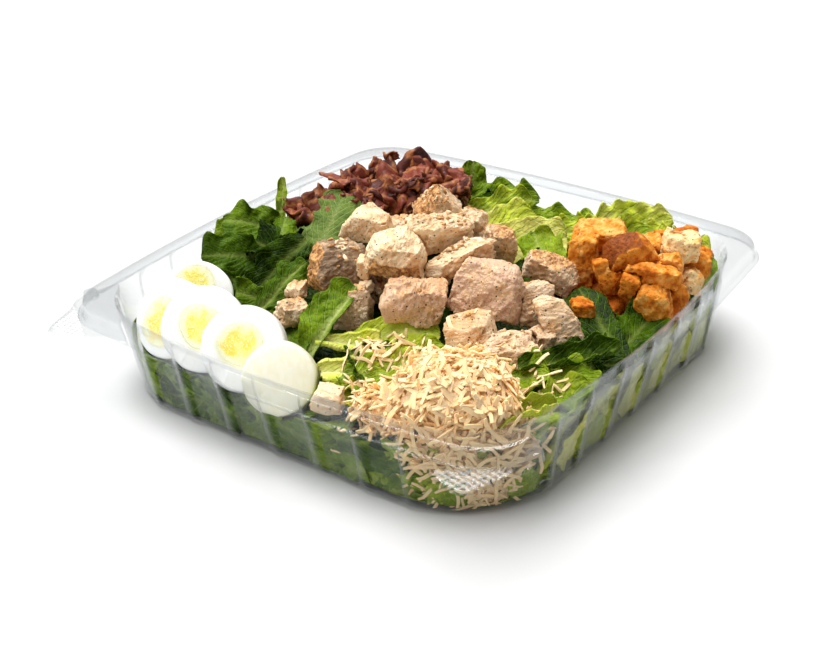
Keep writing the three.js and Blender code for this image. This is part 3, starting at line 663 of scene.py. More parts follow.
egg_cutters = []
for number, (at, face, front, back_radius, thick, yolk_radius, offset) in enumerate(EGG, 1):
    off_middle = np.array(offset) * MM
    white = disc(f"egg_white_slice_{number}", back_radius, thick, front=front)
    if yolk_radius:
        face_up(white)
        bpy.ops.mesh.inset(thickness=(min(front, back_radius) - yolk_radius) * MM)
        bpy.ops.mesh.delete(type="FACE")
        bpy.ops.mesh.select_mode(type="EDGE")
        bpy.ops.mesh.select_all(action="DESELECT")
        bpy.ops.mesh.select_non_manifold()
        bpy.ops.mesh.bridge_edge_loops()
        set_mode("OBJECT")
        white_points = points_of(white.data)
        reach = np.hypot(*white_points.T[:2])
        hole = reach < (yolk_radius + 1.5) * MM
        uneven = yolk_outline(white_points, number) * (yolk_radius - 0.15) * MM / reach
        white_points[hole, :2] = white_points[hole, :2] * uneven[hole, None] + off_middle
        move_points(white.data, white_points)
        mark(white, "by_yolk", hole)
    else:
        face_up(white)
        set_mode("OBJECT")
        for polygon in white.data.polygons:
            polygon.select = polygon.normal.z > 0.9
        set_mode("EDIT")
        for inset, lift in EGG_DOME:
            bpy.ops.mesh.inset(thickness=inset * MM)
            bpy.ops.transform.translate(value=(0, 0, lift * MM))
    face_outward()
    select_none("EDGE")
    for edge in white.data.edges:
        a, b = (white.data.vertices[i].co for i in edge.vertices)
        rim = back_radius if a.z < 0 else front
        edge.select = abs(a.z - b.z) < 0.01 * MM and min(a.xy.length, b.xy.length) > (rim - 0.1) * MM
    set_mode("EDIT")
    bpy.ops.mesh.bevel(offset=EGG_BEVEL * MM, segments=4)
    set_mode("OBJECT")
    turn_to(white, at, face)
    roughen(white, lumps, EGG_LUMPS, 0.9)
    press_inside(white, 0.3)
    cut_by(white, egg_cutters)
    mark(white, "cream", 0.0 if yolk_radius else 0.8)
    smooth(white, 42)
    dress(white, white_finish, f"egg_white_{number}")
    if yolk_radius:
        yolk = disc(f"egg_yolk_disc_{number}", yolk_radius + 0.5, thick + 0.1)
        modify(yolk, "REMESH", mode="VOXEL", voxel_size=YOLK_VOXEL * MM)
        yolk_points = points_of(yolk.data)
        mark(yolk, "edge", np.hypot(*yolk_points.T[:2]) / (yolk_radius * MM))
        mark(yolk, "deep", 0.6 if number == DEEP_YOLK else 0.0)
        yolk_points[:, :2] *= yolk_outline(yolk_points, number)[:, None]
        yolk_points[:, :2] += off_middle
        move_points(yolk.data, yolk_points)
        turn_to(yolk, at, face)
        roughen(yolk, lumps, EGG_LUMPS, 0.9)
        roughen(yolk, lumps, (1.1, 1.1, 1.1), 0.2)
        cut_by(yolk, egg_cutters)
        smooth(yolk)
        dress(yolk, yolk_finish, f"egg_yolk_{number}")
    cutter = disc("cutter", back_radius + EGG_BULGE / 2, thick, EGG_GAP, front=front + EGG_BULGE / 2)
    turn_to(cutter, at, face)
    egg_cutters.append(cutter)
for cutter in egg_cutters:
    bpy.data.objects.remove(cutter)

# ---------- chicken ----------
# Grilled breast chopped into uneven blocks and heaped over the middle of the leaves. The cut faces
# are pale and fibrous, the outside is browned, and pepper and herbs stick to it all.
CHICKEN_COUNT = 23
CHICKEN_VOXEL = 0.5
GROUP_LEVELS = 12
MEAT = {  # direction of the browned face, how strong it is, how pink the meat is, how dull it is (its own grey-brown, and painted shade on pieces that face away from the lamps) and how torn
    1: ((-0.5, -0.6, 0.3), 0.0, 0.0, 0.0, 0.1), 2: ((-0.9, -0.5, 0.2), 1.0, 0.2, 1.0, 0.9),
    3: ((0.2, -0.4, -0.7), 0.9, 0.0, 0.0, 0.2), 4: ((0.1, 0.2, 1), 0.5, 0.0, 0.0, 0.6),
    5: ((0, -0.4, 1), 1.0, 0.0, 0.2, 1.0), 6: ((1, 0, 0.3), 0.5, 0.0, 0.0, 0.9),
    7: ((0, 0.3, 1), 0.5, 0.9, 0.1, 0.4), 8: ((0.3, 0.4, 0.8), 0.3, 1.0, 0.12, 0.45),
    9: ((0.4, 0.2, 1), 0.7, 0.2, 0.1, 0.9), 10: ((0.4, 0.5, 0.8), 0.7, 0.4, 0.0, 0.9),
    11: ((-0.7, 0.2, 0.6), 0.6, 0.4, 0.1, 0.9), 12: ((0.6, 0.2, 0.7), 0.45, 0.4, 0.05, 0.3),
    13: ((-0.5, 0.2, 0.9), 0.6, 0.3, 0.0, 0.3), 14: ((0.3, 0.5, 0.7), 0.3, 0.6, 0.05, 1.0),
    15: ((0.6, 0, 0.8), 0.5, 0.4, 0.3, 0.6), 16: ((-0.6, -0.1, 0.8), 0.7, 0.5, 0.2, 0.5),
    17: ((-0.2, 0.5, 0.9), 0.6, 0.2, 0.1, 0.3), 18: ((0.5, 0, 0.8), 0.3, 0.2, 0.0, 0.3),
}
OTHER_MEAT = ((-0.3, 0.4, 0.8), 0.6, 0.2, 0.05, 0.9)
PEAK, PEAK_SIDES = 5, ((-0.6, -0.45, 0.66), (0.6, 0.45, 0.66))  # the top piece and where its ridge slopes


def direction(plan, rise):
    plan, rise = math.radians(plan), math.radians(rise)
    return Vector((math.cos(plan) * math.cos(rise), math.sin(plan) * math.cos(rise), math.sin(rise)))


def fine_copy(node, name, voxel, cuts=()):
    """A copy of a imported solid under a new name, cut along planes and remeshed to take detail."""
    piece = linked(name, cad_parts[node].data.copy())
    alone(piece)
    set_mode("EDIT")
    bpy.ops.mesh.select_all(action="SELECT")
    bpy.ops.mesh.remove_doubles(threshold=1e-6)
    for place, normal in cuts:
        bpy.ops.mesh.select_all(action="SELECT")
        bpy.ops.mesh.bisect(plane_co=place, plane_no=normal, use_fill=True, clear_outer=True)
    set_mode("OBJECT")
    modify(piece, "REMESH", mode="VOXEL", voxel_size=voxel * MM)
    return piece


def cut_plane(node, normal, share):
    """The plane that takes that share of a block's reach off one side of it, as a place and direction."""
    points = points_of(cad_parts[node].data)
    middle = points.mean(0)
    reach = ((points - middle) @ np.array(normal)).max()
    return Vector(middle) + normal * reach * (1 - share), normal


def knife_cuts(node, count, depth):
    """Random planes that each take up to that share off a block."""
    cuts = []
    for _ in range(count):
        normal = direction(random.uniform(0, 360), random.uniform(-20, 80))
        cuts.append(cut_plane(node, normal, random.uniform(0.5, 1) * depth))
    return cuts


def on_cuts(points, cuts):
    """True for each point that lies on one of the planes."""
    gaps = [abs((points - np.array(place)) @ np.array(normal)) for place, normal in cuts]
    return np.min(gaps, axis=0) < 0.5 * MM


def outward(piece):
    flat = np.empty(len(piece.data.vertices) * 3, np.float32)
    piece.data.vertex_normals.foreach_get("vector", flat)
    return flat.reshape(-1, 3)


def grain_of(piece, turn):
    """Stores each point's place along and across the grain, in metres."""
    middle = points_of(piece.data) - points_of(piece.data).mean(0)
    turned = middle @ np.array(turn.to_matrix())
    layer = piece.data.attributes.new("grain", "FLOAT_VECTOR", "POINT")
    layer.data.foreach_set("vector", turned.astype(np.float32).ravel())


def noise_at(points, size, seed=0.0):
    """Smooth noise between -1 and 1 at each point."""
    shift = Vector((seed * 7.3, seed * 3.1, seed * 5.7))
    return np.array([noise.noise(Vector(p) + shift) for p in points / size])


def weigh(piece, name, shares):
    """Makes a vertex group in which each point counts for its share."""
    group = piece.vertex_groups.new(name=name)
    levels = np.round(np.clip(shares, 0, 1) * GROUP_LEVELS).astype(int)
    for level in range(1, GROUP_LEVELS + 1):
        group.add(np.flatnonzero(levels == level).tolist(), level / GROUP_LEVELS, "REPLACE")


def mark_relief(piece, before, normals):
    """Stores how far each point was pushed out of the smooth shape, in mm, for the finishes to paint shade
    into the hollows.
    """
    mark(piece, "relief", ((points_of(piece.data) - before) * normals).sum(1) / MM)


meat = Finish(
    "grilled chicken breast", Subsurface_Weight=0.1, Subsurface_Scale=2 * MM,
    Subsurface_Radius=(1.0, 0.5, 0.3), Specular_IOR_Level=0.45,
)
grain = meat.attribute("grain", "Vector")
along = meat.stretched(grain, (0.13, 1, 1))
strands = meat.blotches(0.9 * MM, 3, along)
coarse_strands = meat.blotches(2.4 * MM, 2, along)
patches = meat.blotches(5 * MM, 4)
cut_meat = coarse_strands.between(0.3, 0.6).tint((0.90, 0.62, 0.36), (0.98, 0.80, 0.54))
torn_meat = patches.between(0.3, 0.6).tint((0.90, 0.55, 0.27), (0.98, 0.77, 0.49))
pale = meat.attribute("cut").tint(torn_meat, cut_meat)
pale = (meat.attribute("pink") * patches.between(0.25, 0.6)).tint(pale, (0.80, 0.50, 0.33))
pale = strands.between(0.3, 0.5, 0.5, 1).tint((0.66, 0.38, 0.17), pale)
# Painted shade: darker brown where the meat was pushed into hollows and crevices.
relief = meat.attribute("relief") + patches * 0.8 - 0.4
pale = relief.between(-1.3, 0).tint((0.40, 0.17, 0.05), pale)
# Greyer brown: partly the meat's own dull patches, partly painted shade on whole pieces that face away from
# the lamps.
pale = (meat.attribute("dull") * patches.between(0.2, 0.5)).tint(pale, (0.28, 0.175, 0.095))
crusted = meat.attribute("crust") + patches * 0.8 + strands * 0.4
crust_mask = crusted.between(0.9, 1.35)
seared = meat.blotches(1.6 * MM, 4).between(0.35, 0.65).tint((0.30, 0.11, 0.028), (0.80, 0.43, 0.15))
colour = crust_mask.tint(pale, seared)
pepper = meat.specks(2.0 * MM, 0.36 * MM, 0.3) + meat.specks(1.1 * MM, 0.2 * MM, 0.26)
colour = pepper.between(0, 0.6).tint(colour, (0.04, 0.022, 0.014))
herbs = meat.specks(3.1 * MM, 0.5 * MM, 0.10)
colour = herbs.tint(colour, (0.11, 0.13, 0.035))
meat.set("Base Color", colour)
meat.set("Roughness", patches.between(0.3, 0.7, 0.28, 0.6))
meat.bumps((coarse_strands, 0.7 * MM), (strands, 0.7 * MM), (meat.blotches(0.7 * MM, 4), 0.6 * MM))

fibres = pattern("meat fibres", "VORONOI")
torn = pattern("torn meat", noise_depth=3)
random.seed(11)
for number in range(1, CHICKEN_COUNT + 1):
    node = f"chicken_{number:02d}"
    crust_side, strength, pink, dull, tearing = MEAT.get(number, OTHER_MEAT)
    cuts = knife_cuts(node, 3, 0.26 if tearing > 0.5 else 0.2)
    if number == PEAK:
        cuts += [cut_plane(node, Vector(side), 0.45) for side in PEAK_SIDES]
    piece = fine_copy(node, f"chicken_piece_{number:02d}", CHICKEN_VOXEL, cuts)
    turn = Quaternion((0, 0, 1), random.uniform(0, math.pi))
    turn = turn @ Quaternion((0, 1, 0), random.uniform(-0.5, 0.5))
    grain_of(piece, turn)
    before, normals = points_of(piece.data), outward(piece)
    cut = on_cuts(before, cuts)
    facing_crust = normals @ np.array(Vector(crust_side).normalized())
    ragged = noise_at(before / MM, 9, number) * 2.2 + tearing + np.clip(facing_crust, 0, 1) * strength * 0.6
    weigh(piece, "ragged", ragged * np.where(cut, 0.2, 1))
    roughen(piece, lumps, (14, 14, 14), 1.2)
    roughen(piece, torn, (5.2, 4.2, 4.2), 2.8, turn.to_euler(), "ragged")
    roughen(piece, torn, (2.4, 1.5, 1.5), 1.9, turn.to_euler(), "ragged")
    roughen(piece, fibres, (9, 1.8, 1.8), -0.6, turn.to_euler())
    roughen(piece, torn, (4.5, 1.0, 1.0), 0.8, turn.to_euler())
    mark_relief(piece, before, normals)
    mark(piece, "cut", cut)
    mark(piece, "crust", np.clip(facing_crust * 1.3 - 0.1, 0, 1) * strength)
    mark(piece, "pink", pink)
    mark(piece, "dull", dull)
    smooth(piece)
    dress(piece, meat, node)

# ---------- croutons ----------
# Cubes of bread fried in seasoned oil, heaped in the right-hand corner. They are dry and porous, with
# a darker crust on one or two sides, and each is toasted to its own depth. Those deep under the heap
# are toasted dark as painted shade in the gaps between the ones above.
CROUTON_COUNT = 16
CROUTON_VOXEL = 0.55
TOAST = {1: 0.5, 2: 0.38, 3: 0.62, 4: 0.6, 5: 0.65, 6: 0.55, 7: 0.4, 8: 0.05, 9: 0.45, 10: 0.6,
         11: 0.75, 12: 0.6, 13: 0.15, 14: 0.5, 15: 0.6, 16: 0.6}
CRUST_SLAB = 3  # the crouton cut from the outside of the loaf
CRUST_SIDE = Vector((-0.55, -0.45, 0.7)).normalized()
SLAB_SHRINK = 0.88
DEEP_CROUTONS = [
    (72, 22, 38), (82, 18, 35), (91, 26, 37), (84, 36, 42), (92, 48, 41), (70, 37, 43), (99, 36, 36),
    (84, 52, 43), (76, 6, 37), (62, 34, 43),
]

toast = Finish("fried bread", Specular_IOR_Level=0.1)
bread_patches = toast.blotches(4 * MM, 5)
toasted_to = toast.attribute("toast")
toasting = toasted_to * 0.9 + bread_patches * 1.5 - 0.8 + toast.attribute("worn") * 0.4
palest = toasted_to.between(0.15, 0.45).tint((0.92, 0.68, 0.34), (0.88, 0.46, 0.12))
bread_colour = toasting.between(0.0, 0.3).tint(palest, (0.86, 0.42, 0.10))
bread_colour = toasting.between(0.2, 0.5).tint(bread_colour, (0.74, 0.25, 0.022))
bread_colour = toasting.between(0.45, 0.75).tint(bread_colour, (0.46, 0.105, 0.007))
pores = toast.cells(1.7 * MM)
small_pores = toast.cells(0.8 * MM)
# Painted shade: darker where the bread was pushed into hollows.
bread_hollow_shade = toast.attribute("relief") + toast.blotches(1.2 * MM, 2) * 0.8 - 0.4
bread_colour = bread_hollow_shade.between(-1.3, -0.1).tint((0.34, 0.075, 0.005), bread_colour)
# Painted shade: darker in the pits of the pores.
bread_colour = pores.between(0.02, 0.3).tint((0.50, 0.16, 0.012), bread_colour)
bread_colour = toast.specks(2.4 * MM, 0.3 * MM, 0.12).tint(bread_colour, (0.12, 0.035, 0.008))
loaf_crust = toast.blotches(1.5 * MM, 4).between(0.35, 0.65).tint((0.19, 0.045, 0.008), (0.31, 0.08, 0.014))
bread_colour = toast.attribute("crust").tint(bread_colour, loaf_crust)
toast.set("Base Color", bread_colour)
toast.set("Roughness", toast.blotches(3 * MM, 3).between(0.3, 0.7, 0.4, 0.65))
toast.bumps((pores.between(0, 0.5), 0.3 * MM), (small_pores.between(0, 0.5), 0.2 * MM),
            (toast.blotches(0.5 * MM, 3), 0.15 * MM))

crumb_holes = pattern("bread pores", "VORONOI")


def fry(piece, toasted, slab=False):
    """Rounds a block of bread, roughens it and stores how toasted it is."""
    sharp = points_of(piece.data)
    modify(piece, "SMOOTH", factor=0.6, iterations=5)
    before, normals = points_of(piece.data), outward(piece)
    crusty = np.clip((normals @ np.array(CRUST_SIDE) - 0.45) * 6, 0, 1) * slab
    weigh(piece, "crumb", (1 - 0.9 * crusty) * (0.5 if slab else 1))
    roughen(piece, lumps, (8, 8, 8), 1.0 if slab else 2.4)
    roughen(piece, torn, (3.2, 3.2, 3.2), 1.6, only="crumb")
    roughen(piece, crumb_holes, (2, 2, 2), 0.8, only="crumb")
    mark_relief(piece, before, normals)
    mark(piece, "worn", np.clip(np.linalg.norm(before - sharp, axis=1) / (0.5 * MM), 0, 1))
    mark(piece, "toast", toasted)
    mark(piece, "crust", crusty)


random.seed(12)
for number in range(1, CROUTON_COUNT + 1):
    node = f"crouton_{number:02d}"
    slab = number == CRUST_SLAB
    cuts = [] if slab else knife_cuts(node, 2, 0.3)
    piece = fine_copy(node, f"crouton_piece_{number:02d}", CROUTON_VOXEL, cuts)
    if slab:
        slab_points = points_of(piece.data)
        middle = slab_points.mean(0)
        move_points(piece.data, middle + (slab_points - middle) * SLAB_SHRINK)
    fry(piece, TOAST[number], slab)
    smooth(piece)
    dress(piece, toast, node)

# Croutons deep under the heap, toasted dark: painted shade in the gaps of the heap.
deep = []
for at in DEEP_CROUTONS:
    bpy.ops.object.select_all(action="DESELECT")
    bpy.ops.mesh.primitive_cube_add(size=1)
    cube = bpy.context.object
    turned = Quaternion(Vector([random.uniform(-1, 1) for _ in range(3)]).normalized(), random.uniform(0, 3))
    block = Matrix.Diagonal([random.uniform(10, 15) * MM for _ in range(3)])
    cube.data.transform(Matrix.Translation(Vector(at) * MM) @ turned.to_matrix().to_4x4() @ block.to_4x4())
    modify(cube, "REMESH", mode="VOXEL", voxel_size=MM)
    fry(cube, random.uniform(0.65, 0.95))
    deep.append(cube)
under_the_heap = gather("croutons_under_the_heap", deep)
smooth(under_the_heap)
dress(under_the_heap, toast, "crouton_04")

# ---------- lettuce ----------
# Chopped cos lettuce fills the tray: dark crinkled outer leaves on the left and along the walls, pale
# hearts and ribs in the middle. The leaves lie loose on a core of packed leaf and press on the walls.
LEAF_ALONG, LEAF_ACROSS = 44, 26
LEAF_THICK = 0.4
VEINS, VEIN_SLANT = 7, 0.34
NO_LEAVES = [((-84, 68, 34), (-50, 98, 42)), ((-102, -76, 30), (-92, -32, 42))]  # kept free, in mm
CAM = -53  # the plan angle towards the camera, where most leaves look
BEHIND_EGG, BESIDE_EGG, BEFORE_EGG = 0.9, 1.5, 16  # how far round a slice leaves are pressed back, in mm


def behind_eggs(points):
    """Presses points, in mm, that stand in or close before a slice of egg to its back."""
    for at, face, _, back_radius, thick, _, _ in EGG:
        normal = np.array(heading(*face))
        offset = points - np.array(at)
        ahead = offset @ normal
        aside = np.linalg.norm(offset - ahead[:, None] * normal, axis=1)
        back_face = -thick / 2 - BEHIND_EGG
        caught = (aside < back_radius + BESIDE_EGG) & (ahead > back_face) & (ahead < BEFORE_EGG)
        points = np.where(caught[:, None], points + (back_face - ahead)[:, None] * normal, points)
    return points


bpy.ops.object.select_all(action="DESELECT")
bpy.ops.mesh.primitive_grid_add(x_subdivisions=LEAF_ALONG, y_subdivisions=LEAF_ACROSS, size=2)
leaf_blank = bpy.context.object
leaf_blank.name = "leaf_blank"
blank = points_of(leaf_blank.data)


def leaf(at, aim, rise, size, tone, face=(CAM, 60), curl=20, cup=20, ruffle=2.0, waves=3, pucker=1.1,
         halves=(1, 1), thick=LEAF_THICK, clearance=0.9, whole=1.0, rib=0.25, matte=0.0, ceiling=80, seed=0):
    """One piece of leaf. at is its middle in mm, aim and rise are where its rib points, face is where its
    upper side looks, size is its length and width in mm, and halves are the shares of width on each side."""
    length, width = size
    u, v = (blank[:, 0] + 1) / 2, blank[:, 1]
    v = v * np.where(v > 0, halves[0], halves[1])
    side, out, still = np.sign(v), np.abs(v), np.zeros(len(u))
    outline = (u * 0.88 + 0.14) ** 0.5 * np.maximum(1.03 - u**4 * whole, 0.02) ** 0.5
    wobble = noise_at(np.column_stack([u * 3.4, side * 3, still]), 1, seed)
    frill = noise_at(np.column_stack([u * 9, side * 3, still + 1]), 1, seed)
    reach = width / 2 * outline * (1 + 0.3 * wobble + 0.14 * frill)
    bend = math.radians(cup) * out + 1e-6
    across = side * reach * out * np.sin(bend) / bend
    lift = reach * out * (1 - np.cos(bend)) / bend
    q = VEINS * (u - VEIN_SLANT * out * width / length * 2)
    between_veins = 1 - np.abs(2 * (q - np.floor(q)) - 1) ** 2
    flat = np.column_stack([u * length, v * reach, still])
    crinkle = noise_at(flat, 6.5, seed) + 0.4 * noise_at(flat, 3, seed + 1)
    open_share = np.clip(out * 2.2, 0, 1)
    lift += pucker * open_share * (0.7 * between_veins - 0.6 + 2.2 * np.abs(crinkle))
    lift += 2.4 * noise_at(flat, 15, seed + 3)
    phase = np.where(v > 0, seed, seed * 1.7 + 2)
    swell = 1 + 0.6 * noise_at(np.column_stack([u * 3, side, still]), 1, seed + 2)
    lift += ruffle * out**2.2 * np.sin(2 * math.pi * waves * u + phase) * swell
    across += side * ruffle * 0.3 * out**3 * np.cos(2 * math.pi * waves * 1.3 * u + phase)
    off_rib = out * reach / (0.5 + 1.6 * (1 - u))
    lift -= (0.4 + rib) * np.exp(-(off_rib**2)) * (1 - 0.7 * u)
    turn = math.radians(curl)
    angle = turn * (u - 0.5)
    sideways = noise_at(np.column_stack([u * 1.5, still, still]), 1, seed + 5) * length * 0.06
    spine_x = np.sin(angle) / turn * length if curl else (u - 0.5) * length
    spine_z = (1 - np.cos(angle)) / turn * length if curl else still
    local = np.column_stack([
        spine_x - lift * np.sin(angle), across + sideways, spine_z + lift * np.cos(angle),
    ])
    ahead = direction(aim, rise)
    up = direction(*face)
    up = (up - ahead * up.dot(ahead)).normalized()
    axes = np.array([ahead, up.cross(ahead), up])
    points = local @ axes + np.array(at, float)
    points[:, 2] = np.minimum(points[:, 2], ceiling + 2 * wobble)
    points = keep_inside(behind_eggs(points), clearance + 0.35 * np.clip(crinkle + 1, 0, 2))
    for low, high in NO_LEAVES:
        inside = np.all((points > np.array(low)) & (points < np.array(high)), axis=1)
        points[inside, 2] = low[2]
    piece = linked("leaf", leaf_blank.data.copy())
    move_points(piece.data, points * MM)
    mark(piece, "tone", tone)
    mark(piece, "rib", rib * np.exp(-(off_rib**2)))
    mark(piece, "matte", matte)
    mark(piece, "vein_place", q)
    modify(piece, "SOLIDIFY", thickness=thick * MM, offset=0)
    return piece


foliage = Finish(
    "cos lettuce leaf", Specular_IOR_Level=0.04, Subsurface_Weight=0.2, Subsurface_Scale=0.6 * MM,
    Subsurface_Radius=(0.8, 1.0, 0.2),
)
mottle = foliage.blotches(12 * MM, 3) * 0.5 + foliage.blotches(2.6 * MM, 3) * 0.3 - 0.4
tone = foliage.attribute("tone") + mottle
green = tone.between(0.0, 0.25).tint((0.007, 0.020, 0.0005), (0.045, 0.095, 0.0015))
green = tone.between(0.2, 0.5).tint(green, (0.16, 0.25, 0.004))
green = tone.between(0.45, 0.75).tint(green, (0.44, 0.51, 0.03))
green = tone.between(0.75, 1.0).tint(green, (0.68, 0.66, 0.17))
green = foliage.attribute("matte").tint(green, (0.068, 0.115, 0.032))
vein_place = foliage.attribute("vein_place") + foliage.blotches(6 * MM, 2) * 0.5
vein = abs(vein_place - foliage.node("Math", {"operation": "ROUND"}, {0: vein_place}))
vein_line = 1 - vein.between(0.01, 0.06)
net = foliage.cells(2.8 * MM, "DISTANCE_TO_EDGE")
pale_vein = tone.between(0, 1).tint((0.14, 0.24, 0.03), (0.66, 0.70, 0.30))
green = (vein_line * 0.5 + (1 - net.between(0.01, 0.08)) * 0.12).tint(green, pale_vein)
green = foliage.attribute("rib").tint(green, tone.between(0, 1).tint((0.32, 0.40, 0.07), (0.78, 0.76, 0.42)))
foliage.set("Base Color", green)
sheen = foliage.blotches(4 * MM, 2).between(0.3, 0.7, 0.15, 0.35)
foliage.set("Roughness", sheen + foliage.attribute("matte") * 0.4)
foliage.bumps((net.between(0, 0.25), 0.2 * MM), (vein.between(0, 0.12), 0.2 * MM),
              (foliage.blotches(1.2 * MM, 2), 0.12 * MM))

core = fine_copy("lettuce", "packed_leaf_core", 3)
modify(core, "DISPLACE", strength=-4.5 * MM, mid_level=0)
roughen(core, torn, (9, 9, 9), 4)
press_inside(core, 0.1)
core_x, _, core_z = points_of(core.data).T
painted_light_by_right_wall = np.clip(core_x / (25 * MM) - 2.9, 0, 0.8) * (core_z < 28 * MM)  # lighter low down by the right-hand wall: painted light in the shaded gaps behind the leaves there
for name, value in {"tone": 0.05 + painted_light_by_right_wall, "rib": 0, "matte": 0, "vein_place": 0.5}.items():
    mark(core, name, value)
smooth(core)
dress(core, foliage, "lettuce")

left_leaves = [
    leaf((-86, -15, 48), 222, 14, (31, 25), 0.3, (CAM, 48), curl=-45, ruffle=3.2, waves=2.4, seed=1),
    leaf((-95, -20, 44), 240, -5, (20, 18), 0.42, (CAM, 40), curl=-30, ruffle=2.4, waves=2, seed=2),
    leaf((-84, 2, 50), 130, 55, (30, 7), 0.5, (CAM, 10), curl=10, cup=50, ruffle=0.6, seed=3),
    leaf((-71, -16, 45), 120, 12, (30, 16), 0.34, (CAM, 55), curl=-20, cup=-30, ruffle=1.5, seed=9),
    leaf((-78, -38, 43), 226, 8, (32, 26), 0.2, (CAM, 44), curl=-55, ruffle=3.5, waves=2.2, pucker=1.2,
         seed=4),
    leaf((-64, -30, 46), 170, 5, (30, 24), 0.02, (CAM, 40), curl=-50, cup=40, ruffle=2.5, waves=2, seed=12),
    leaf((-52, -38, 45), 250, -32, (34, 26), 0.08, (CAM, 42), curl=-30, ruffle=2.5, pucker=1.5, seed=5),
    leaf((-56, -58, 38), 212, 10, (22, 17), 0.3, (CAM, 50), curl=-60, cup=45, ruffle=2, waves=2, seed=6),
    leaf((-39, -54, 43), 55, 38, (34, 19), 0.24, (-80, 40), curl=-20, cup=-25, ruffle=1.5, rib=0.5, seed=7),
    leaf((-53, 0, 53), 108, 17, (42, 30), 0.5, (CAM, 62), curl=-25, cup=-15, ruffle=1.6, waves=4, pucker=0.4,
         rib=0.1, matte=0.8, seed=8),
    leaf((-82, -40, 30), 230, -20, (40, 30), 0.1, (CAM, 60), ruffle=3, seed=10),
    leaf((-60, -62, 30), 200, -5, (50, 34), 0.12, (CAM, 70), ruffle=3, seed=11),
]
middle_leaves = [
    leaf((2, -68, 46), 92, 30, (40, 30), 0.34, (CAM - 20, 50), curl=-18, halves=(1, 0.2), ruffle=2, rib=0.7,
         seed=21),
    leaf((24, -56, 41), 32, 4, (38, 25), 0.66, (CAM, 64), curl=-15, ruffle=1.5, pucker=0.7, seed=22),
    leaf((9, -68, 38), 30, -3, (28, 12), 0.85, (CAM, 60), cup=60, ruffle=0.2, pucker=0.15, thick=2.2,
         whole=0.2, rib=0.8, seed=23),
    leaf((14, -85, 34), 36, 0, (24, 14), 0.9, (CAM, 55), cup=70, ruffle=0.2, pucker=0.15, thick=2.0,
         whole=0.2, rib=0.8, seed=24),
    leaf((29, -83, 36), -28, -14, (32, 18), 0.15, (CAM + 60, 50), cup=70, ruffle=1.5, seed=25),
    leaf((36, -86, 36), 5, 0, (28, 20), 0.48, (CAM, 60), ruffle=2, seed=26),
    leaf((27, -93, 32), 45, 0, (26, 18), 0.72, (CAM, 60), cup=50, ruffle=1.5, seed=27),
    leaf((10, -88, 27), 20, 0, (46, 30), 0.3, (CAM, 70), ruffle=3, seed=28),
    leaf((-12, -80, 36), 130, 15, (40, 28), 0.25, (CAM, 60), ruffle=3, seed=29),
    leaf((40, -70, 39), 60, 6, (38, 26), 0.55, (CAM, 65), ruffle=2, seed=30),
]
back_leaves = [
    leaf((27, 38, 47), 37, 0, (38, 33), 0.92, (CAM, 48), curl=-18, ruffle=1.2, pucker=0.5, seed=41),
    leaf((10, 44, 46), 60, 5, (40, 28), 0.82, (CAM, 55), curl=-20, ruffle=2, seed=42),
    leaf((50, 81, 41), 37, 8, (52, 26), 0.84, (CAM, 45), ruffle=3, waves=6, seed=43),
    leaf((31, 60, 43), 20, 8, (36, 22), 0.7, (CAM, 50), ruffle=3, waves=4, seed=44),
    leaf((68, 80, 41), -8, 5, (34, 22), 0.8, (CAM, 45), ruffle=3, waves=5, seed=45),
    leaf((-31, 83, 44), 127, 62, (25, 19), 0.36, (CAM, 15), curl=-20, cup=-20, ruffle=1, seed=46),
    leaf((-3, 61, 47), 37, 10, (34, 22), 0.62, (CAM, 50), ruffle=2.5, seed=47),
    leaf((-15, 78, 40), 20, 8, (44, 30), 0.4, (CAM, 55), ruffle=3, seed=48),
    leaf((14, 84, 33), 10, 0, (46, 30), 0.5, (CAM, 65), ruffle=3, seed=49),
    leaf((58, 62, 44), 50, 10, (40, 26), 0.6, (CAM, 55), ruffle=3, seed=50),
    leaf((80, 84, 36), -20, 0, (40, 28), 0.55, (CAM, 60), ruffle=3, seed=51),
    leaf((-50, 82, 30), 15, 0, (46, 30), 0.3, (CAM, 70), ruffle=3, seed=52),
    leaf((-82, 60, 28), 70, 0, (46, 30), 0.35, (CAM, 70), ruffle=3, seed=53),
    leaf((-88, 24, 34), 100, 0, (46, 30), 0.2, (CAM, 65), ruffle=3, seed=54),
    leaf((44, 28, 45), 140, 12, (40, 26), 0.5, (CAM, 55), ruffle=2.5, seed=55),
]
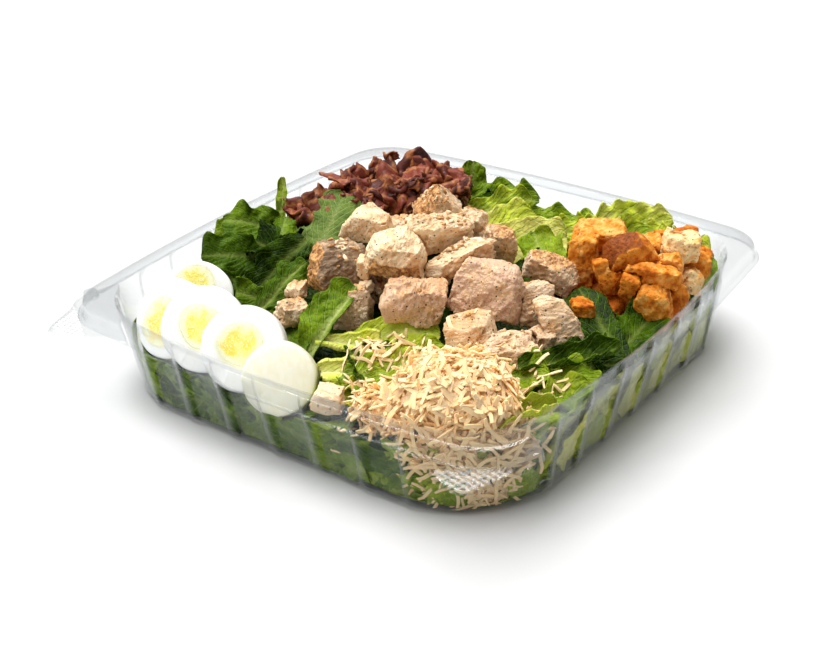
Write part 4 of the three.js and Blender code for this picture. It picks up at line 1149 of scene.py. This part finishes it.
right_leaves = [
    leaf((92, -8, 43), 145, 15, (52, 36), 0.04, (CAM, 45), curl=-25, cup=15, ruffle=2, pucker=0.8,
         halves=(1, 0.5), seed=61),
    leaf((95, -36, 42), 51, 4, (42, 20), 0.16, (CAM, 75), cup=95, ruffle=1.2, seed=62),
    leaf((96, -30, 37), 40, 0, (38, 26), 0.1, (CAM, 60), ruffle=2, seed=63),
    leaf((94, -46, 36), 30, 0, (38, 28), 0.5, (CAM, 62), ruffle=2.5, seed=64),
    leaf((98, -73, 38), 62, 10, (26, 22), 0.82, (CAM, 60), cup=120, ruffle=1, seed=65),
    leaf((84, -90, 12), 20, 10, (44, 32), 0.3, (-45, 5), ruffle=2, clearance=4, ceiling=30, seed=70),
    leaf((94, -78, 22), 80, -20, (34, 26), 0.55, (-35, 5), ruffle=2, clearance=3.5, ceiling=30, seed=71),
    leaf((70, -98, 20), 200, 15, (38, 30), 0.55, (-60, 5), ruffle=2, clearance=3.5, ceiling=28, seed=72),
    leaf((97, -68, 8), 100, 5, (36, 26), 0.6, (-25, 5), ruffle=2, clearance=2, ceiling=26, seed=73),
    leaf((88, -86, 3), 45, 0, (48, 34), 0.6, (-45, 15), ruffle=2, clearance=2, ceiling=20, seed=74),
    leaf((66, -99, 6), 10, 0, (46, 30), 0.5, (-70, 10), ruffle=2, clearance=2, ceiling=22, seed=75),
    leaf((101, -58, 33), 70, 0, (40, 28), 0.58, (CAM, 60), ruffle=3, seed=66),
    leaf((75, -56, 38), 20, 4, (40, 28), 0.45, (CAM, 65), ruffle=2.5, seed=67),
    leaf((100, 4, 36), 90, 0, (44, 28), 0.15, (CAM, 60), ruffle=3, seed=68),
    leaf((100, 70, 32), 100, 0, (44, 28), 0.4, (CAM, 60), ruffle=3, seed=69),
]
random.seed(14)


def wall_leaves(quarter, places, tones, first_seed, ceiling):
    """Leaves pressed flat on one wall: quarter 0 is the opening side, and they go on anticlockwise."""
    made = []
    out = -90 + 90 * quarter
    turn = Matrix.Rotation(math.radians(90 * quarter), 2)
    for number, (along_wall, height) in enumerate(places):
        x, y = turn @ Vector((along_wall, -103 + random.uniform(0, 4)))
        aim = out + 90 + random.uniform(-60, 60) + 180 * (number % 2)
        made.append(leaf(
            (x, y, height), aim, random.uniform(-25, 25), (random.uniform(36, 56), random.uniform(26, 38)),
            random.uniform(*tones), (out, random.uniform(-20, 25)), curl=random.uniform(-30, 10),
            cup=random.uniform(-25, 15), ruffle=3, pucker=1.6, clearance=0.8 + 0.35 * (number % 5),
            ceiling=ceiling, seed=first_seed + number,
        ))
    return made


LOW_AND_HIGH = [(x, z) for x in range(-84, 90, 22) for z in (4, 13, 25)]
front_wall = wall_leaves(0, [(x, z) for x, z in LOW_AND_HIGH if x < 60], (0.12, 0.5), 100, 24)
right_wall = wall_leaves(1, [(y, z) for y, z in LOW_AND_HIGH if y > -60], (0.65, 1.0), 130, 27)
back_wall = wall_leaves(2, LOW_AND_HIGH[1:], (0.1, 0.7), 160, 30)
left_wall = wall_leaves(3, LOW_AND_HIGH, (0.05, 0.5), 190, 24)
base_leaves = [
    leaf((x, y, 3.5), random.uniform(0, 360), 0, (58, 42), random.uniform(0.05, 0.6), (0, -90), ruffle=3,
         cup=10, seed=220 + x + y)
    for x in (-66, -22, 22, 66) for y in (-66, -22, 22, 66)
]
for name, pieces in {
    "leaves_left": left_leaves, "leaves_middle": middle_leaves, "leaves_back": back_leaves,
    "leaves_right": right_leaves, "leaves_on_opening_wall": front_wall, "leaves_on_right_wall": right_wall,
    "leaves_on_hinge_wall": back_wall, "leaves_on_left_wall": left_wall, "leaves_on_base": base_leaves,
}.items():
    piece = gather(name, pieces)
    smooth(piece)
    dress(piece, foliage, "lettuce")
bpy.data.objects.remove(leaf_blank)

# ---------- grated cheese ----------
# Hard cheese cut by a coarse grater into thin curved shreds. They pile up over the front corner and
# slide down between leaves and wall, and a few lie scattered on the leaves beside the pile.
HEAP_CLEARANCE = 1.0
draw = np.random.default_rng(15)


def shred(length, width, thick, bend, twist):
    """One shred along X in mm, curved and tapered to its ends."""
    bpy.ops.object.select_all(action="DESELECT")
    bpy.ops.mesh.primitive_cube_add(size=1)
    piece = bpy.context.object
    piece.scale = (length, width, thick)
    bpy.ops.object.transform_apply()
    select_none("EDGE")
    for edge in piece.data.edges:
        a, b = (piece.data.vertices[i].co for i in edge.vertices)
        edge.select = abs(a.x - b.x) > length / 2
    set_mode("EDIT")
    bpy.ops.mesh.subdivide_edgering(number_cuts=5)
    set_mode("OBJECT")
    points = points_of(piece.data)
    taper = 1 - 0.22 * np.abs(points[:, 0] / length * 2) ** 6
    points[:, 1:] *= taper[:, None]
    points[:, 1] += 0.3 * np.sin(points[:, 0] * 0.5 + length)
    points[:, 2] += 0.35 * np.sin(points[:, 0] * 0.45 + 2 * length)
    move_points(piece.data, points)
    modify(piece, "SIMPLE_DEFORM", deform_method="TWIST", deform_axis="X", angle=twist)
    modify(piece, "SIMPLE_DEFORM", deform_method="BEND", deform_axis="Z", angle=bend)
    modify(piece, "TRIANGULATE")
    return piece


def take_shape(piece):
    """The points, triangles and streaks of a small shape, which is then removed."""
    corners = np.array([face.vertices[:] for face in piece.data.polygons])
    streaks = np.zeros(len(piece.data.vertices), np.float32)
    if "streak" in piece.data.attributes:
        piece.data.attributes["streak"].data.foreach_get("value", streaks)
    shape = points_of(piece.data), corners, streaks
    bpy.data.objects.remove(piece)
    return shape


def heaped(name, shapes, places, shade_name="tone"):
    """One mesh of many small shapes. Each place is a shape's number, a turn, a middle in mm, a size and
    a shade, which is stored under its name."""
    points, corners, tones, streaks, count = [], [], [], [], 0
    for kind, turn, middle, size, shade in places:
        shape, triangles, streak = shapes[kind]
        points.append(shape * size @ np.array(turn.to_matrix()).T + np.array(middle))
        corners.append(triangles + count)
        tones.append(np.full(len(shape), shade))
        streaks.append(streak + shade * 9)
        count += len(shape)
    mesh = bpy.data.meshes.new(name)
    inside = keep_inside(np.vstack(points), HEAP_CLEARANCE)
    mesh.from_pydata((inside * MM).tolist(), [], np.vstack(corners).tolist())
    piece = linked(name, mesh)
    mark(piece, shade_name, np.concatenate(tones))
    mark(piece, "streak", np.concatenate(streaks))
    return piece


def spots_on(piece, count, facing_up=-1.0):
    """Random places on a surface, in mm, with their outward directions."""
    mesh = piece.data
    mesh.calc_loop_triangles()
    corners = np.array([t.vertices[:] for t in mesh.loop_triangles])
    a, b, c = (points_of(mesh)[corners[:, k]] for k in range(3))
    normals = np.cross(b - a, c - a)
    areas = np.linalg.norm(normals, axis=1)
    normals = normals / areas[:, None]
    areas = np.where(normals[:, 2] > facing_up, areas, 0)
    picked = draw.choice(len(areas), count, p=areas / areas.sum())
    s, t = draw.random((2, count, 1))
    s, t = np.where(s + t > 1, 1 - s, s), np.where(s + t > 1, 1 - t, t)
    places = a[picked] + s * (b - a)[picked] + t * (c - a)[picked]
    return zip(places / MM, normals[picked])


def lying(normal, tilt):
    """A turn that lays a shape's Z axis near a direction, spun at random."""
    leaned = Vector(normal) + Vector(draw.normal(0, tilt, 3))
    spin = Quaternion((0, 0, 1), draw.uniform(0, 2 * math.pi))
    return leaned.to_track_quat("Z", "Y") @ spin


SHREDS = [  # length, width and thickness in mm, bend and twist
    (14, 1.8, 0.7, 0.5, 0.5), (18, 1.7, 0.7, -0.7, 0.8), (11, 2.0, 0.8, 0.5, 0.3), (21, 1.8, 0.7, 0.6, -0.6),
    (8, 1.9, 0.8, 0.3, 0.2), (15, 1.5, 0.7, 1.0, 0.5), (4, 1.5, 0.8, 0.1, 0.1),
]
shred_shapes = [take_shape(shred(*sizes)) for sizes in SHREDS]

grated = Finish(
    "grated hard cheese", Roughness=0.6, Specular_IOR_Level=0.2, Subsurface_Weight=0.3,
    Subsurface_Scale=1.5 * MM, Subsurface_Radius=(1.0, 0.8, 0.5),
)
# The tone varies at random, and is lower and more orange on deep shreds and the core: painted shade between
# the shreds.
cheese_tone_and_shade = grated.attribute("tone") + grated.blotches(3 * MM, 3) * 0.3 - 0.15
grated.set("Base Color", cheese_tone_and_shade.between(0, 0.8).tint((0.95, 0.54, 0.22), (0.98, 0.70, 0.39)))
grated.bumps((grated.blotches(0.5 * MM, 2), 0.12 * MM))

cheese_core = fine_copy("cheese", "cheese_pile_core", 1.5)
modify(cheese_core, "DISPLACE", strength=-0.9 * MM, mid_level=0)
press_inside(cheese_core, 8)
roughen(cheese_core, torn, (5, 5, 5), 3)
# The core shows between the shreds in a lower tone: painted shade in the gaps.
mark(cheese_core, "tone", 0.35)
smooth(cheese_core)
dress(cheese_core, grated, "cheese")

places = []
for middle, normal in spots_on(cheese_core, 1500):
    kind = draw.choice(len(SHREDS), p=(0.2, 0.18, 0.2, 0.12, 0.1, 0.14, 0.06))
    lift = draw.uniform(0, 1.2)
    lifted = middle + normal * lift
    # Shreds that lie lower get a lower, more orange tone: painted shade between the shreds.
    places.append((kind, lying(normal, 0.07), lifted, draw.uniform(0.75, 1.1), 0.4 + lift * 0.4))
for x, y, z, count in ((88, -96, 24, 220), (99, -82, 24, 100), (72, -104, 24, 110), (90, -92, 8, 220)):
    for _ in range(count):
        middle = np.array((x, y, z)) + draw.normal(0, 8, 3)
        depth = draw.uniform(1.5, 7)
        middle = keep_inside(middle[None], depth)[0]
        # Shreds further in from the wall get a lower, more orange tone: painted shade deeper in the pile.
        places.append((draw.integers(len(SHREDS)), lying((x, y, 0), 0.3), middle, draw.uniform(0.5, 0.9),
                       1.3 - depth * 0.15))
pile = heaped("cheese_pile", shred_shapes, places)
smooth(pile, 50)
dress(pile, grated, "cheese")

# ---------- bacon ----------
# Bacon fried crisp and crumbled: small curled bits of dark lean with tan fat, heaped at the back left
# corner with a few strays.
CRUMBS = [  # length, width, length of a fold and its height in mm, and how far it bends
    (27, 15, 21, 2.4, 1.0), (20, 14, 16, 2.0, 0.4), (25, 12, 18, 2.2, 1.8), (15, 13, 13, 1.6, 0.7),
    (11, 9, 10, 1.0, 0.3), (25, 17, 24, 3.0, -1.2),
]
CRUMB_THICK = 2.8
crumb_forms = []
for k, (long, wide, fold, lift, bend) in enumerate(CRUMBS):
    bpy.ops.object.select_all(action="DESELECT")
    bpy.ops.mesh.primitive_grid_add(x_subdivisions=22, y_subdivisions=12, size=1)
    crumb = bpy.context.object
    flat = points_of(crumb.data)
    mark(crumb, "streak", flat[:, 1] * 1.6)
    points = flat * np.array((long, wide, 0))
    points[:, 0] *= 1 + 0.4 * noise_at(flat * (0, 5, 0), 1, k)
    points[:, 1] *= 1 + 0.45 * noise_at(flat * (6, 0, 0), 1, k + 5)
    points[:, 2] = lift * np.sin(2 * math.pi * points[:, 0] / fold + 0.25 * points[:, 1] + k)
    points[:, 2] += 2.2 * noise_at(points, 6, k)
    move_points(crumb.data, points)
    modify(crumb, "SOLIDIFY", thickness=CRUMB_THICK, offset=0)
    points = points_of(crumb.data)
    swell = 1.2 * noise_at(points, 2.8, k + 20) + 0.6 * noise_at(points, 1.2, k + 30)
    move_points(crumb.data, points + swell[:, None] * outward(crumb))
    modify(crumb, "SMOOTH", factor=0.5, iterations=3)
    modify(crumb, "SIMPLE_DEFORM", deform_method="BEND", deform_axis="Y", angle=bend)
    modify(crumb, "TRIANGULATE")
    crumb_forms.append(take_shape(crumb))

rasher = Finish("crumbled fried bacon", Specular_IOR_Level=0.25)
band = rasher.attribute("streak") + rasher.blotches(6 * MM, 3) * 1.6
fat = abs(band - rasher.node("Math", {"operation": "ROUND"}, {0: band})) * 2
# The tone sets how dark the lean is: each bit's own, and a low one on the core that is painted shade in the
# hollows.
lean = rasher.attribute("tone") * 0.4 + rasher.blotches(4 * MM, 3) * 0.6
bacon_colour = lean.between(0.3, 0.7).tint((0.055, 0.010, 0.006), (0.20, 0.038, 0.018))
bacon_colour = fat.between(0.5, 0.95).tint(bacon_colour, (0.34, 0.12, 0.038))
rasher.set("Base Color", bacon_colour)
rasher.set("Roughness", rasher.blotches(2 * MM, 2).between(0.3, 0.7, 0.4, 0.65))
rasher.bumps((rasher.blotches(1.1 * MM, 3), 0.4 * MM))

bacon_core = fine_copy("bacon", "bacon_heap_core", 1.5)
modify(bacon_core, "DISPLACE", strength=-3.5 * MM, mid_level=0)
roughen(bacon_core, torn, (6, 6, 6), 3)
# A low tone darkens the core: painted shade in the hollows between the bits.
mark(bacon_core, "tone", 0.1)
mark(bacon_core, "streak", 0)
smooth(bacon_core)
dress(bacon_core, rasher, "bacon")

places = []
for middle, normal in spots_on(bacon_core, 95, -0.3):
    lifted = middle + normal * draw.uniform(-3, 0)
    kind = draw.integers(len(crumb_forms))
    flatter = normal + np.array((0, 0, 0.7))
    places.append((kind, lying(flatter, 0.4), lifted, draw.choice((0.6, 0.75, 0.95)), draw.uniform(0, 1)))
bits = heaped("bacon_bits", crumb_forms, places)
smooth(bits)
dress(bits, rasher, "bacon")

# ---------- strays ----------
# What fell beside its heap: shreds of cheese, bits of bacon and crumbs of chicken and crust, each on
# the leaf or the piece that caught it.
carriers = [BVHTree.FromObject(piece, bpy.context.evaluated_depsgraph_get()) for piece in bpy.data.objects
            if piece.type == "MESH" and piece.visible_get() and piece.name not in ("clear_tray", "floor")]


def dropped(x, y):
    """The highest surface under a place in mm, with its outward direction."""
    best = None
    for tree in carriers:
        spot, normal, _, _ = tree.ray_cast(Vector((x, y, 130)) * MM, Vector((0, 0, -1)))
        if spot and (best is None or spot.z > best[0].z):
            best = (spot, normal)
    return best


def strewn(areas, kinds, rise, size, tones=(0, 1)):
    """Places for small things that lie that far off a surface, in mm, round the middles of areas: x, y,
    spread and how many."""
    found = []
    for x, y, spread, count in areas:
        for _ in range(count):
            hit = dropped(x + draw.normal(0, spread), y + draw.normal(0, spread))
            if hit and hit[0].z > 5 * MM:
                middle = np.array(hit[0]) / MM + np.array(hit[1]) * rise
                found.append((draw.choice(kinds), lying(hit[1], 0.25), middle, draw.uniform(*size),
                              draw.uniform(*tones)))
    return found


stray_cheese = heaped("stray_cheese", shred_shapes, strewn(
    [(25, -71, 5, 80), (37, -66, 5, 25), (92, -56, 6, 35), (40, -92, 6, 30), (50, -68, 6, 25)],
    (0, 1, 2, 4, 4, 6), 0.5, (0.4, 0.85), (0.6, 1.2),
))
dress(stray_cheese, grated, "cheese")
stray_bacon = heaped("stray_bacon", crumb_forms, strewn(
    [(-14, 58, 3, 5), (-30, 30, 7, 5), (-64, 62, 6, 6)], (1, 3, 5), 0.8, (0.3, 0.6),
))
smooth(stray_bacon)
dress(stray_bacon, rasher, "bacon")

FLAKES = [  # length, width and thickness in mm, and how finely it is divided
    (8, 5, 4, 2), (6, 5, 4, 2), (9, 4, 3, 2), (4, 3, 3, 2), (12, 10, 8, 4), (15, 9, 8, 4), (10, 9, 9, 4),
]
flake_forms = []
for k, (long, wide, thick, levels) in enumerate(FLAKES):
    bpy.ops.object.select_all(action="DESELECT")
    bpy.ops.mesh.primitive_ico_sphere_add(subdivisions=levels, radius=0.5)
    flake = bpy.context.object
    flat = points_of(flake.data) * 2
    flat = np.sign(flat) * np.abs(flat) ** 0.7 / 2
    knobbly = 0.9 if levels < 3 else 0.4
    swell = 1 + knobbly * noise_at(flat, 0.35, 5 * k) + 0.25 * noise_at(flat, 0.16, 5 * k)
    move_points(flake.data, flat * np.array((long, wide, thick)) * swell[:, None])
    flake_forms.append(take_shape(flake))
SMALL_FLAKES, BIG_FLAKES = (0, 1, 2, 3), (4, 5, 6)
flake_areas = [
    (-14, -38, 5, 24), (2, 6, 6, 30), (28, -16, 6, 40), (0, -20, 6, 30), (22, -8, 6, 30), (72, -46, 6, 12),
    (50, -48, 8, 16),
]


def in_hollows(x, y, spread, count, fall):
    """Places for big flakes round a middle, wherever pieces on two sides stand that much higher, in mm."""
    found = []
    for _ in range(count):
        there = (x + draw.normal(0, spread), y + draw.normal(0, spread))
        heights = [(dropped(there[0] + dx, there[1] + dy) or [Vector()])[0].z / MM
                   for dx, dy in ((0, 0), (8, 0), (-8, 0), (0, 8), (0, -8))]
        if sorted(heights[1:])[2] > heights[0] + fall and 36 < heights[0] < 58:
            middle = np.array((*there, heights[0] + 3))
            found.append((draw.choice(BIG_FLAKES), lying((0, 0, 1), 1), middle, draw.uniform(0.6, 1.0),
                          draw.uniform(0, 0.8)))
    return found


flakes = heaped("torn_chicken_flakes", flake_forms, strewn(
    flake_areas, SMALL_FLAKES, 0.1, (0.14, 0.4), (0, 1.1),
) + in_hollows(2, -20, 9, 110, 5), "crust")
for name, value in {"cut": 0, "relief": 0, "pink": 0.1, "dull": 0}.items():
    mark(flakes, name, value)
smooth(flakes)
dress(flakes, meat, "chicken_18")
